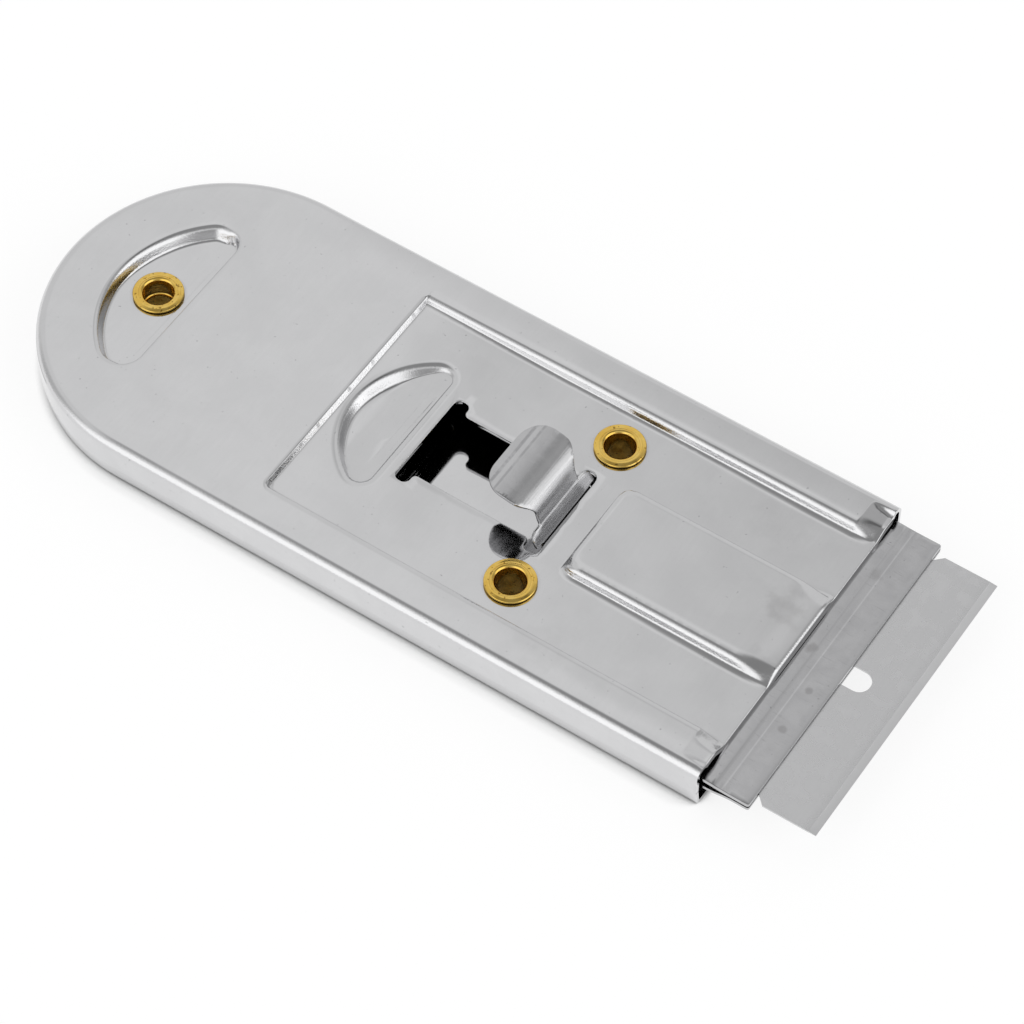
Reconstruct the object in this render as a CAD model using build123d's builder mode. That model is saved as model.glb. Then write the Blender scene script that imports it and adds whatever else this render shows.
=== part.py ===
"""Scraper for a glass ceramic hob: a flat steel case with a blade that slides out of its front.

X runs along the scraper, with the cutting edge at +X, Y runs across it and Z points up. The
origin is under the middle of the whole, on the surface that the case lies on. The blade is
modelled slid out and latched. Lengths are in millimetres.
"""
from build123d import *
from math import atan2, degrees, tan
import os

# The case: two pressed steel shells that meet edge to edge
body_length = 102.5
body_width = 44.2
body_height = 6.8
sheet = 0.5
seam_height = 2.8
top_edge_radius = 1.2
bottom_edge_radius = 1.0
wall_lean_angle = 8.0
blade_reach = 14.1
overrun = 2.0

half_width = body_width / 2
x_rear = -(body_length + blade_reach) / 2
x_front = x_rear + body_length
x_edge = x_front + blade_reach
x_round = x_rear + half_width

# The sunk panel in the top and the raised pad inside it
panel_length = 62.3
panel_width = 33.9
panel_depth = 1.2
panel_run = 0.75
panel_corner = 1.5
pad_setback = 27.35
pad_width = 12.1
pad_corner = 0.9
strip_length = 3.2
strip_drop = 0.5
strip_edge = 0.3

# The sunk thumb rest behind the slot, and the sunk half round at the rear
thumb_setback = 53.0
thumb_radius = 11.6
thumb_lead = 3.15
thumb_depth = 1.1
thumb_run = 1.5
thumb_corner = 2.1
hollow_radius = 15.1
hollow_centre_inset = 22.5
hollow_chord_inset = 17.0
hollow_depth = 1.45
hollow_run = 0.85
hollow_corner = 2.8

# The slot that the thumb lever comes through, with a cross slot at each end
latch_setback = 32.45
travel = 17.85
cross_slot_length = 1.9
cross_slot_width = 13.5
cross_slot_corner = 0.85
channel_width = 10.2
channel_corner = 0.6

# Eyelets: one to hang the scraper by, and two that the carriage slides on
bore_radius = 1.83
barrel_radius = 2.2
flange_radius = 3.13
foot_radius = 2.9
flange_height = 0.47
flange_edge = 0.18
throat_radius = 0.4
eyelet_setback = 31.7
eyelet_spacing = 23.0
hang_inset = 12.65
hole_clearance = 0.05
slide_clearance = 0.05
stop_clearance = 0.1
pocket_radius = 4.6
pocket_depth = 0.62
pocket_run = 0.4

# The carriage: two jaws of thin plate that pinch the blade
jaw_sheet = 0.4
jaw_side_clearance = 0.5
jaw_roof_clearance = 0.345
jaw_tail = 2.35
lip_reach = 6.1
lip_flat = 1.5
crease_reach = 2.5
lip_drop = 0.13
step_start = 1.5
step_run = 1.6
step_rise = 0.475
notch_width = 14.4
notch_setback = 29.4
front_relief = 1.2
relief_corner = 0.5
relief_margin = 1.2

# The blade
blade_width = 40.0
blade_length = 19.0
blade_sheet = 0.25
bevel_length = 1.0
edge_thickness = 0.04
blade_slot_width = 3.0
blade_slot_setback = 6.5
blade_slot_length = 5.0
side_notch_setback = 6.9
side_notch_depth = 2.0
side_notch_length = 6.0

# The thumb lever: one strip of spring steel, riveted between the jaws at its front end
lever_sheet = 0.45
lever_gap = 0.2
leaf_width = 9.8
leaf_lead = 1.7
pivot_setback = 6.9
riser_lead = 0.95
ear_foot_lead = 0.7
ear_foot_height = 0.35
ear_width = 11.9
ear_height = 1.72
ear_corner = 1.1
ear_clearance = 0.06
neck_width = 7.8
neck_height = 1.85
neck_lag = 0.1
flare_start = 3.8
flare_end = 6.9
crown_lag = 1.64
crown_height = 6.95
crown_radius = 2.4
bend_radius = 0.5
paddle_width = 11.36
paddle_lag = 7.85
paddle_end_height = 6.2
paddle_corner = 3.5
rivet_radius = 0.8
rivet_head_radius = 1.6
rivet_head_height = 0.45
rivet_spacing = 6.4
rivet_clearance = 0.12

# Levels and places that follow from the sizes above
panel_floor = body_height - panel_depth
hollow_floor = body_height - hollow_depth
x_latch = x_front - latch_setback
x_eyelets = x_front - eyelet_setback
x_hang = x_rear + hang_inset
x_pivot = x_front - pivot_setback
x_lip = x_front + lip_reach
x_crease = x_front + crease_reach
jaw_roof = panel_floor - sheet - jaw_roof_clearance
blade_level = jaw_roof - jaw_sheet - lip_drop - blade_sheet / 2
blade_top = blade_level + blade_sheet / 2
blade_bottom = blade_level - blade_sheet / 2
jaw_width = body_width - 2 * (sheet + jaw_side_clearance)
slide_bore = barrel_radius + slide_clearance
upper_jaw_length = lip_reach + eyelet_setback + stop_clearance + slide_bore + jaw_tail
upper_jaw_bottom = blade_top + lip_drop
upper_jaw_top = upper_jaw_bottom + jaw_sheet
lower_jaw_top = blade_bottom - step_rise
lower_jaw_bottom = lower_jaw_top - jaw_sheet
leaf_bottom = lower_jaw_top + lever_gap
leaf_top = leaf_bottom + lever_sheet
guide_places = [(x_eyelets, side * eyelet_spacing / 2) for side in (1, -1)]
rivet_places = [(x_pivot, side * rivet_spacing / 2) for side in (1, -1)]


def underside_growth(run, depth):
    """How far a ramp's underside stands outside its upper side, one sheet below it."""
    return sheet * tan(atan2(depth, run) / 2)


def lean_of(run, depth):
    """The angle of a ramp from the upright, in degrees."""
    return degrees(atan2(run, depth))


def side_prism(points, width):
    """A prism across the scraper with the outline given in X and Z."""
    with BuildPart() as prism:
        with BuildSketch(Plane.XZ):
            with BuildLine():
                Polyline(*points, close=True)
            make_face()
        extrude(amount=width / 2, both=True)
    return prism.part


def draw_case_outline(inset):
    """Draws the case's plan: a half round rear end and straight sides that run past the front."""
    side = half_width - inset
    length = x_front + overrun - x_round
    with Locations((x_round, 0)):
        Circle(side)
    with Locations((x_round + length / 2, 0)):
        Rectangle(length, 2 * side)


def panel_shape(level, grow):
    """The sunk panel around its pad, down from a level, with the front strip pressed flat."""
    length = panel_length + grow + overrun
    pad_length = pad_setback - grow + overrun
    slope_end = x_front + overrun
    slope_length = strip_length + overrun
    rise = (panel_depth - strip_drop) * slope_length / strip_length
    fall = strip_drop * slope_length / strip_length
    strip_start = x_front - strip_length
    with BuildPart() as shape:
        with BuildSketch(Plane.XY.offset(level)) as plan:
            with Locations((slope_end - length / 2, 0)):
                Rectangle(length, panel_width + 2 * grow)
            fillet(plan.vertices().group_by(Axis.X)[0], panel_corner + grow)
        extrude(amount=-panel_depth, taper=lean_of(panel_run, panel_depth))
        with BuildSketch(Plane.XY.offset(level)) as pad_plan:
            with Locations((slope_end - pad_length / 2, 0)):
                Rectangle(pad_length, pad_width - 2 * grow)
            fillet(pad_plan.vertices().group_by(Axis.X)[0], pad_corner - grow)
        extrude(amount=-panel_depth, taper=-lean_of(panel_run, panel_depth), mode=Mode.SUBTRACT)
        add(side_prism([(strip_start, level - panel_depth),
                        (slope_end, level - panel_depth),
                        (slope_end, level - panel_depth + rise)], body_width), mode=Mode.SUBTRACT)
        add(side_prism([(strip_start, level),
                        (slope_end, level),
                        (slope_end, level - fall)],
                       body_width - 2 * (top_edge_radius + strip_edge)))
    return shape.part


def thumb_shape(level, grow):
    """The thumb rest, down from a level: deepest at its round rear side, level at its chord."""
    x_chord = x_front - thumb_setback
    x_centre = x_chord + thumb_lead
    foot_lag = thumb_radius - thumb_lead - thumb_run
    x_end = x_chord - foot_lag - overrun
    with BuildPart() as shape:
        with BuildSketch(Plane.XY.offset(level)) as plan:
            with Locations((x_centre, 0)):
                Circle(thumb_radius + grow)
            with Locations((x_chord + 2 * thumb_radius, 0)):
                Rectangle(4 * thumb_radius, 4 * thumb_radius, mode=Mode.SUBTRACT)
            fillet(plan.vertices(), thumb_corner)
        extrude(amount=-thumb_depth, taper=lean_of(thumb_run, thumb_depth))
        add(side_prism([(x_chord, level),
                        (x_end, level),
                        (x_end, level - thumb_depth * (foot_lag + overrun) / foot_lag)],
                       body_width), mode=Mode.INTERSECT)
    return shape.part


def hollow_shape(level, grow):
    """The half round hollow that the hang eyelet sits in, down from a level."""
    x_centre = x_rear + hollow_centre_inset
    x_chord = x_rear + hollow_chord_inset + grow
    with BuildPart() as shape:
        with BuildSketch(Plane.XY.offset(level)) as plan:
            with Locations((x_centre, 0)):
                Circle(hollow_radius + grow)
            with Locations((x_chord + 2 * hollow_radius, 0)):
                Rectangle(4 * hollow_radius, 4 * hollow_radius, mode=Mode.SUBTRACT)
            fillet(plan.vertices(), hollow_corner + grow)
        extrude(amount=-hollow_depth, taper=lean_of(hollow_run, hollow_depth))
    return shape.part


# The room inside the upper shell
panel_grow = underside_growth(panel_run, panel_depth)
thumb_grow = underside_growth(thumb_run, thumb_depth)
hollow_grow = underside_growth(hollow_run, hollow_depth)
with BuildPart() as cover_room:
    with BuildSketch(Plane.XY.offset(seam_height - overrun)):
        draw_case_outline(sheet)
    extrude(amount=body_height - sheet - seam_height + overrun)
    fillet(cover_room.faces().sort_by(Axis.Z)[-1].edges(), top_edge_radius - sheet)
    add(panel_shape(body_height - sheet, panel_grow), mode=Mode.SUBTRACT)
    add(thumb_shape(panel_floor - sheet, thumb_grow), mode=Mode.SUBTRACT)
    add(hollow_shape(body_height - sheet, hollow_grow), mode=Mode.SUBTRACT)

# The upper shell
with BuildPart() as top_cover:
    with BuildSketch(Plane.XY.offset(seam_height)):
        draw_case_outline(0)
    extrude(amount=body_height - seam_height)
    fillet(top_cover.faces().sort_by(Axis.Z)[-1].edges(), top_edge_radius)
    add(panel_shape(body_height, 0), mode=Mode.SUBTRACT)
    add(thumb_shape(panel_floor, 0), mode=Mode.SUBTRACT)
    add(hollow_shape(body_height, 0), mode=Mode.SUBTRACT)
    add(cover_room.part, mode=Mode.SUBTRACT)
    with BuildSketch(Plane.XY.offset(body_height)) as lever_slot:
        with Locations((x_latch, 0), (x_latch - travel, 0)):
            Rectangle(cross_slot_length, cross_slot_width)
        with Locations((x_latch - travel / 2, 0)):
            Rectangle(travel, channel_width)
        ends = lever_slot.vertices().group_by(Axis.Y)
        fillet(ends[0] + ends[-1], cross_slot_corner)
        inner = lever_slot.vertices().filter_by(
            lambda v: abs(abs(v.Y) - channel_width / 2) < channel_corner)
        fillet(inner, channel_corner)
    extrude(amount=-(body_height - seam_height), mode=Mode.SUBTRACT)
    with BuildSketch(Plane.XY.offset(body_height)):
        with Locations(*guide_places, (x_hang, 0)):
            Circle(barrel_radius + hole_clearance)
    extrude(amount=-(body_height - seam_height), mode=Mode.SUBTRACT)
    split(bisect_by=Plane.YZ.offset(x_front), keep=Keep.BOTTOM)
top_cover.part.label = "top_cover"

# The room inside the lower shell, with a raised seat over each eyelet's foot
pocket_grow = underside_growth(pocket_run, pocket_depth)
with BuildPart() as shell_room:
    with BuildSketch(Plane.XY.offset(seam_height)):
        draw_case_outline(sheet)
    extrude(amount=-(seam_height - sheet), taper=wall_lean_angle)
    fillet(shell_room.faces().sort_by(Axis.Z)[0].edges(), bottom_edge_radius - sheet)
    with BuildSketch(Plane.XY.offset(sheet)):
        with Locations(*guide_places, (x_hang, 0)):
            Circle(pocket_radius + pocket_grow)
    extrude(amount=pocket_depth, taper=lean_of(pocket_run, pocket_depth), mode=Mode.SUBTRACT)

# The lower shell
with BuildPart() as bottom_shell:
    with BuildSketch(Plane.XY.offset(seam_height)):
        draw_case_outline(0)
    extrude(amount=-seam_height, taper=wall_lean_angle)
    fillet(bottom_shell.faces().sort_by(Axis.Z)[0].edges(), bottom_edge_radius)
    add(shell_room.part, mode=Mode.SUBTRACT)
    with BuildSketch(Plane.XY):
        with Locations(*guide_places, (x_hang, 0)):
            Circle(pocket_radius)
    extrude(amount=pocket_depth, taper=lean_of(pocket_run, pocket_depth), mode=Mode.SUBTRACT)
    with BuildSketch(Plane.XY):
        with Locations(*guide_places, (x_hang, 0)):
            Circle(barrel_radius + hole_clearance)
    extrude(amount=seam_height, mode=Mode.SUBTRACT)
    with BuildSketch(Plane.XY) as relief:
        relief_width = body_width - 2 * (bottom_edge_radius + relief_margin)
        with Locations((x_front + overrun / 2, 0)):
            Rectangle(2 * front_relief + overrun, relief_width)
        fillet(relief.vertices(), relief_corner)
    extrude(amount=bottom_edge_radius, mode=Mode.SUBTRACT)
    split(bisect_by=Plane.YZ.offset(x_front), keep=Keep.BOTTOM)
bottom_shell.part.label = "bottom_shell"


def make_eyelet(x, y, seat, label):
    """A brass eyelet with its flange on a seat and its rolled foot in the lower shell's pocket."""
    with BuildPart() as eyelet:
        with BuildSketch(Plane(origin=(x, y, 0), x_dir=(1, 0, 0), z_dir=(0, -1, 0))) as section:
            with BuildLine():
                Polyline((bore_radius, pocket_depth - flange_height),
                         (foot_radius, pocket_depth - flange_height),
                         (foot_radius, pocket_depth),
                         (barrel_radius, pocket_depth),
                         (barrel_radius, seat),
                         (flange_radius, seat),
                         (flange_radius, seat + flange_height),
                         (bore_radius, seat + flange_height),
                         close=True)
            make_face()
            tops = section.vertices().group_by(Axis.Z)[-1].sort_by(Axis.X)
            feet = section.vertices().group_by(Axis.Z)[0].sort_by(Axis.X)
            fillet([tops[0], feet[0]], throat_radius)
            fillet([tops[-1], feet[-1]], flange_edge)
        revolve(axis=Axis((x, y, 0), (0, 0, 1)))
    eyelet.part.label = label
    return eyelet.part


hang_eyelet = make_eyelet(x_hang, 0, hollow_floor, "hang_eyelet")
left_guide_eyelet = make_eyelet(*guide_places[0], panel_floor, "left_guide_eyelet")
right_guide_eyelet = make_eyelet(*guide_places[1], panel_floor, "right_guide_eyelet")


# The upper jaw, whose two long slots run on the guide eyelets
with BuildPart() as upper_jaw:
    add(side_prism([(x_lip - upper_jaw_length, upper_jaw_bottom),
                    (x_crease, upper_jaw_bottom),
                    (x_lip - lip_flat, blade_top),
                    (x_lip, blade_top),
                    (x_lip, blade_top + jaw_sheet),
                    (x_lip - lip_flat, blade_top + jaw_sheet),
                    (x_crease, upper_jaw_top),
                    (x_lip - upper_jaw_length, upper_jaw_top)],
                   jaw_width))
    with BuildSketch(Plane.XY.offset(upper_jaw_top)):
        with Locations(*[(x + travel / 2, y) for x, y in guide_places]):
            SlotCenterToCenter(travel + 2 * stop_clearance, 2 * slide_bore)
        with Locations((x_front - notch_setback - upper_jaw_length / 2, 0)):
            Rectangle(upper_jaw_length, notch_width)
        with Locations(*rivet_places):
            Circle(rivet_radius)
    extrude(amount=-jaw_sheet, mode=Mode.SUBTRACT)
upper_jaw.part.label = "upper_jaw"

# The lower jaw, stepped up to its lip
x_jaw_tail = x_pivot - leaf_lead
with BuildPart() as lower_jaw:
    add(side_prism([(x_jaw_tail, lower_jaw_bottom),
                    (x_front + step_start, lower_jaw_bottom),
                    (x_front + step_start + step_run, blade_bottom - jaw_sheet),
                    (x_lip, blade_bottom - jaw_sheet),
                    (x_lip, blade_bottom),
                    (x_front + step_start + step_run, blade_bottom),
                    (x_front + step_start, lower_jaw_top),
                    (x_jaw_tail, lower_jaw_top)], jaw_width))
    with BuildSketch(Plane.XY.offset(lower_jaw_bottom)):
        with Locations(*rivet_places):
            Circle(rivet_radius)
    extrude(amount=jaw_sheet, mode=Mode.SUBTRACT)
lower_jaw.part.label = "lower_jaw"

# The blade, ground to an edge at the front
with BuildPart() as blade:
    add(side_prism([(x_edge - blade_length, blade_bottom),
                    (x_edge - bevel_length, blade_bottom),
                    (x_edge, blade_level - edge_thickness / 2),
                    (x_edge, blade_level + edge_thickness / 2),
                    (x_edge - bevel_length, blade_top),
                    (x_edge - blade_length, blade_top)], blade_width))
    with BuildSketch(Plane.XY.offset(blade_bottom)):
        with Locations((x_edge - blade_slot_setback - blade_slot_length / 2, 0)):
            SlotCenterToCenter(blade_slot_length, blade_slot_width)
        for side in (1, -1):
            with BuildLine():
                Polyline((x_edge - side_notch_setback, side * blade_width / 2),
                         (x_edge - side_notch_setback - side_notch_depth,
                          side * (blade_width / 2 - side_notch_depth)),
                         (x_edge - side_notch_setback - side_notch_length + side_notch_depth,
                          side * (blade_width / 2 - side_notch_depth)),
                         (x_edge - side_notch_setback - side_notch_length, side * blade_width / 2),
                         close=True)
            make_face()
    extrude(amount=blade_sheet, mode=Mode.SUBTRACT)
blade.part.label = "blade"

# The thumb lever's side view: a flat leaf, a riser through the slot and a curled paddle
lever_line = [(x_pivot + leaf_lead, leaf_top),
              (x_latch + riser_lead, leaf_top),
              (x_latch + ear_foot_lead, panel_floor + ear_foot_height),
              (x_latch - neck_lag, panel_floor + neck_height),
              (x_latch - crown_lag, panel_floor + crown_height),
              (x_latch - paddle_lag, panel_floor + paddle_end_height)]
with BuildPart() as thumb_lever:
    with BuildSketch(Plane.XZ):
        with BuildLine():
            FilletPolyline(*lever_line, radius=[bend_radius, bend_radius, bend_radius, crown_radius])
            offset(amount=lever_sheet, side=Side.LEFT)
        make_face()
    extrude(amount=ear_width / 2, both=True)
    # The front view: the leaf, the ears above the slot, the neck and the flare to the paddle
    with BuildSketch(Plane.YZ.offset(x_pivot + leaf_lead)):
        for side in (1, -1):
            with BuildLine():
                foot = panel_floor + ear_clearance
                middle = (side * (neck_width + paddle_width) / 4,
                          panel_floor + (flare_start + flare_end) / 2)
                base = Polyline((0, 0), (side * leaf_width / 2, 0),
                                (side * leaf_width / 2, foot),
                                (side * ear_width / 2, foot),
                                (side * ear_width / 2, panel_floor + ear_height - ear_corner))
                turn = RadiusArc(base @ 1,
                                 (side * (ear_width / 2 - ear_corner), panel_floor + ear_height),
                                 -side * ear_corner)
                neck = Polyline(turn @ 1, (side * neck_width / 2, panel_floor + ear_height),
                                (side * neck_width / 2, panel_floor + flare_start))
                lower = TangentArc(neck @ 1, middle, tangent=(0, 1))
                upper = TangentArc(lower @ 1, (side * paddle_width / 2, panel_floor + flare_end),
                                   tangent=lower % 1)
                top = panel_floor + crown_height + lever_sheet
                Polyline(upper @ 1, (side * paddle_width / 2, top), (0, top), (0, 0))
            make_face()
    extrude(amount=-(leaf_lead + x_pivot - x_latch + paddle_lag + lever_sheet), mode=Mode.INTERSECT)
    # The plan: the paddle's rounded end
    with BuildSketch(Plane.XY) as plan:
        length = x_pivot + leaf_lead + overrun - (x_latch - paddle_lag)
        with Locations((x_latch - paddle_lag + length / 2, 0)):
            Rectangle(length, paddle_width + 2 * overrun)
        with Locations((x_latch - paddle_lag + paddle_corner, 0)):
            Rectangle(2 * paddle_corner, paddle_width + 2 * overrun, mode=Mode.SUBTRACT)
            Rectangle(2 * paddle_corner, paddle_width)
        fillet(plan.vertices().group_by(Axis.X)[0], paddle_corner)
    extrude(amount=panel_floor + crown_height + lever_sheet, mode=Mode.INTERSECT)
    with BuildSketch(Plane.XY):
        with Locations(*rivet_places):
            Circle(rivet_radius + rivet_clearance)
    extrude(amount=panel_floor, mode=Mode.SUBTRACT)
thumb_lever.part.label = "thumb_lever"

# The two rivets that hold the jaws and the lever's leaf together
with BuildPart() as lever_rivets:
    with BuildSketch(Plane.XY.offset(lower_jaw_bottom)):
        with Locations(*rivet_places):
            Circle(rivet_radius)
    extrude(amount=upper_jaw_top - lower_jaw_bottom)
    with BuildSketch(Plane.XY.offset(upper_jaw_top)):
        with Locations(*rivet_places):
            Circle(rivet_head_radius)
    extrude(amount=rivet_head_height)
    with BuildSketch(Plane.XY.offset(lower_jaw_bottom)):
        with Locations(*rivet_places):
            Circle(rivet_head_radius)
    extrude(amount=-rivet_head_height)
    heads = lever_rivets.edges().filter_by(GeomType.CIRCLE).group_by(Axis.Z)
    fillet(heads[0] + heads[-1], rivet_head_height / 2)
lever_rivets.part.label = "lever_rivets"

os.makedirs("parts", exist_ok=True)
for piece in (top_cover.part, bottom_shell.part, hang_eyelet, left_guide_eyelet, right_guide_eyelet,
              upper_jaw.part, lower_jaw.part, blade.part, thumb_lever.part, lever_rivets.part):
    export_step(piece, "parts/" + piece.label + ".step")
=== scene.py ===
"""A pressed steel scraper for glass ceramic hobs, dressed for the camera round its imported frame."""
import math

import bpy
import numpy as np
from mathutils import Matrix, Vector, geometry


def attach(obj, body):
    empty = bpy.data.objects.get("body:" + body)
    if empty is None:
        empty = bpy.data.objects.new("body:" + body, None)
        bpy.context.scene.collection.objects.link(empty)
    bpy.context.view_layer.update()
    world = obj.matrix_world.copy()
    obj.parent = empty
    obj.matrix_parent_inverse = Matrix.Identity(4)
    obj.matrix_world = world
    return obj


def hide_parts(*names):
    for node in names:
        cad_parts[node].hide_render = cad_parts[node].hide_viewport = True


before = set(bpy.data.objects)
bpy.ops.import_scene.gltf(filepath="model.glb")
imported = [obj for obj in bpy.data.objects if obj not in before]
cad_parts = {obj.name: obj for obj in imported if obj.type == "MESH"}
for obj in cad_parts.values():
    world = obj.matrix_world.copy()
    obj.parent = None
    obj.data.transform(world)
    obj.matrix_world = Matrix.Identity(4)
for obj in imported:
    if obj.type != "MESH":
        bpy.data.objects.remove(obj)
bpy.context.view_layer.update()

MM = 0.001

# Where the parts lie, in millimetres along and up from the origin under the middle
X_REAR, X_FRONT, X_EDGE = -58.3, 44.2, 58.3
HALF_WIDTH = 22.1
TOP = 6.8
SHEET = 0.5
SEAM = 2.8
X_ROUND = X_REAR + HALF_WIDTH
PANEL_FLOOR = 5.6
HOLLOW_FLOOR = 5.35
X_LATCH = 11.75
TRAVEL = 17.85
X_EYELETS, EYELET_SIDE = 12.5, 11.5
X_HANG = -45.65
PLACES = [(X_EYELETS, EYELET_SIDE), (X_EYELETS, -EYELET_SIDE), (X_HANG, 0)]
OUTLINE_STEP = 0.8


# Camera
def place_camera():
    """The photograph's viewpoint: from above the near front corner with a long lens."""
    azimuth, elevation, roll = (math.radians(a) for a in (32.9762, 54.4065, 0.8188))
    target = Vector((7.1692, -3.1775, 5.6)) * MM
    distance = 476.4738 * MM
    back = Vector((math.sin(azimuth) * math.cos(elevation),
                   -math.cos(azimuth) * math.cos(elevation), math.sin(elevation)))
    right = Vector((math.cos(azimuth), math.sin(azimuth), 0))
    up = back.cross(right)
    tilted_right = math.cos(roll) * right + math.sin(roll) * up
    tilted_up = math.cos(roll) * up - math.sin(roll) * right
    data = bpy.data.cameras.new("camera")
    data.sensor_width = 36
    data.lens = 145.68
    data.clip_start, data.clip_end = 0.01, 20
    camera = bpy.data.objects.new("camera", data)
    turn = Matrix((tilted_right, tilted_up, back)).transposed().to_4x4()
    camera.matrix_world = Matrix.Translation(target + back * distance) @ turn
    bpy.context.scene.collection.objects.link(camera)
    bpy.context.scene.camera = camera


place_camera()


# Outlines in the sheet's plan
def arc_points(centre, radius, start, end, step):
    """Points along an arc, angles in degrees, both ends included."""
    count = max(2, int(abs(math.radians(end - start)) * radius / step) + 1)
    angles = np.radians(np.linspace(start, end, count + 1))
    return np.c_[centre[0] + radius * np.cos(angles), centre[1] + radius * np.sin(angles)]


def line_points(start, end, step):
    """Points along a straight line, both ends included."""
    count = max(1, int(math.dist(start, end) / step + 0.5))
    return np.linspace(start, end, count + 1)


def circle_points(centre, radius, count):
    """A closed circle."""
    angles = np.linspace(0, 2 * math.pi, count, endpoint=False)
    return np.c_[centre[0] + radius * np.cos(angles), centre[1] + radius * np.sin(angles)]


def rounded_corner(before, here, after, radius, step, least, more):
    """The arc that rounds a corner, in at least so many steps."""
    before, here, after = (np.array(c, float) for c in (before, here, after))
    if radius <= 0:
        return here[None, :]
    to_before = (before - here) / np.linalg.norm(before - here)
    to_after = (after - here) / np.linalg.norm(after - here)
    half = math.acos(max(-1, min(1, to_before @ to_after))) / 2
    middle = to_before + to_after
    centre = here + middle / np.linalg.norm(middle) * radius / math.sin(half)
    start, end = here + to_before * radius / math.tan(half), here + to_after * radius / math.tan(half)
    a0 = math.atan2(*(start - centre)[::-1])
    turn = (math.atan2(*(end - centre)[::-1]) - a0 + math.pi) % (2 * math.pi) - math.pi
    steps = max(least, int(abs(turn) * radius / step) + more)
    angles = np.linspace(a0, a0 + turn, steps + 1)
    return np.c_[centre[0] + radius * np.cos(angles), centre[1] + radius * np.sin(angles)]


def rounded_loop(corners, radii, step):
    """A closed outline with each corner rounded by its own radius."""
    before, after = corners[-1:] + corners[:-1], corners[1:] + corners[:1]
    return np.concatenate([rounded_corner(*places, radius, step, 3, 1)
                           for *places, radius in zip(before, corners, after, radii)])


def spread_along(loop, step):
    """The same outline with points added so that none are further apart than a step."""
    return np.concatenate([line_points(a, b, step)[:-1] if math.dist(a, b) > step else a[None, :]
                           for a, b in zip(loop, np.roll(loop, -1, axis=0))])


def across(x, half, step):
    """An open row of points across the scraper."""
    return line_points((x, -half), (x, half), step), False


# How far a point is inside a form
def into_half_round(x, y, centre, radius, chord, corner):
    """Depth into a half round that bulges to the rear from its chord, with rounded corners."""
    small, wall = radius - corner, chord - corner
    height = math.sqrt(small ** 2 - (wall - centre) ** 2)
    reach = np.hypot(x - centre, y)
    past_arc, past_chord = reach - small, x - wall
    inside = np.maximum(past_arc, past_chord)
    to_corner = np.hypot(x - wall, np.abs(y) - height)
    foot_x = centre + (x - centre) / np.maximum(reach, 1e-9) * small
    outside = np.where((past_arc > 0) & (foot_x <= wall), past_arc,
                       np.where((past_chord > 0) & (np.abs(y) <= height), past_chord, to_corner))
    return corner - np.where((past_arc <= 0) & (past_chord <= 0), inside, outside)


def half_round_loop(centre, radius, chord, corner, inset, step):
    """The outline of the half round above, moved inwards by an inset."""
    small, wall = radius - corner, chord - corner
    height = math.sqrt(small ** 2 - (wall - centre) ** 2)
    bend = max(corner - inset, 0.02)
    lean = math.degrees(math.atan2(height, wall - centre))
    top = arc_points((wall, height), bend, 0, lean, step)
    arc = arc_points((centre, 0), radius - inset, lean, 360 - lean, step)
    bottom = arc_points((wall, -height), bend, -lean, 0, step)
    return np.r_[top, arc, bottom]


def ramp_table(depth, bends):
    """A pressed ramp's section as distances past its upper edge and how deep it is there. The bends
    are arcs of a radius between two slopes in degrees, and a straight wall joins them."""
    def arc(radius, start, end):
        angles = np.radians(np.linspace(start, end, max(3, int(abs(end - start) / 6) + 1)))
        runs = radius * np.abs(np.sin(angles) - math.sin(angles[0]))
        return np.c_[runs, radius * np.abs(np.cos(angles) - math.cos(angles[0]))]
    arcs = [arc(*bend) for bend in bends]
    steepest = next(i for i, bend in enumerate(bends) if bend[2] < bend[1])
    slope = math.radians(bends[steepest][1])
    left = depth - sum(a[-1][1] for a in arcs)
    points = [np.zeros((1, 2))]
    for i, a in enumerate(arcs):
        last = points[-1][-1]
        if i == steepest:
            last = last + [left / math.tan(slope), left]
            points.append(last[None, :])
        points.append(last + a[1:])
    return np.concatenate(points)


def ramp_depth(into, table):
    """How deep a ramp is at a distance past its upper edge."""
    return np.interp(into, table[:, 0], table[:, 1])


def blended_ramp(into, tables, shares):
    """How deep a ramp is where its section is a blend of some tables, by their shares."""
    levels = tables[0][-1, 1] * (1 - np.cos(np.linspace(0, math.pi, 81))) / 2
    places = [np.interp(levels, t[:, 1], t[:, 0]) for t in tables]
    depth, low = np.zeros_like(into), np.zeros_like(into)
    for k in range(1, len(levels)):
        high = sum(place[k] * share for place, share in zip(places, shares))
        rise = np.clip((into - low) / np.maximum(high - low, 1e-9), 0, 1)
        depth, low = depth + (levels[k] - levels[k - 1]) * rise, high
    return depth


def ramp_rows(*tables):
    """Where the ramps' bends need a row of points."""
    places = np.unique(np.concatenate([t[:, 0] for t in tables]).round(3))
    kept = [-0.15]
    for place in places:
        if place - kept[-1] > 0.035:
            kept.append(place)
    return np.array(kept + [kept[-1] + 0.15])


# Meshes
def piece_from(name, points, faces):
    """A new smooth object from points in millimetres."""
    mesh = bpy.data.meshes.new(name)
    mesh.from_pydata((np.asarray(points) * MM).tolist(), [], faces)
    mesh.validate()
    mesh.update()
    mesh.shade_smooth()
    mesh.set_sharp_from_angle(angle=math.radians(40))
    piece = bpy.data.objects.new(name, mesh)
    bpy.context.scene.collection.objects.link(piece)
    return piece


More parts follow.
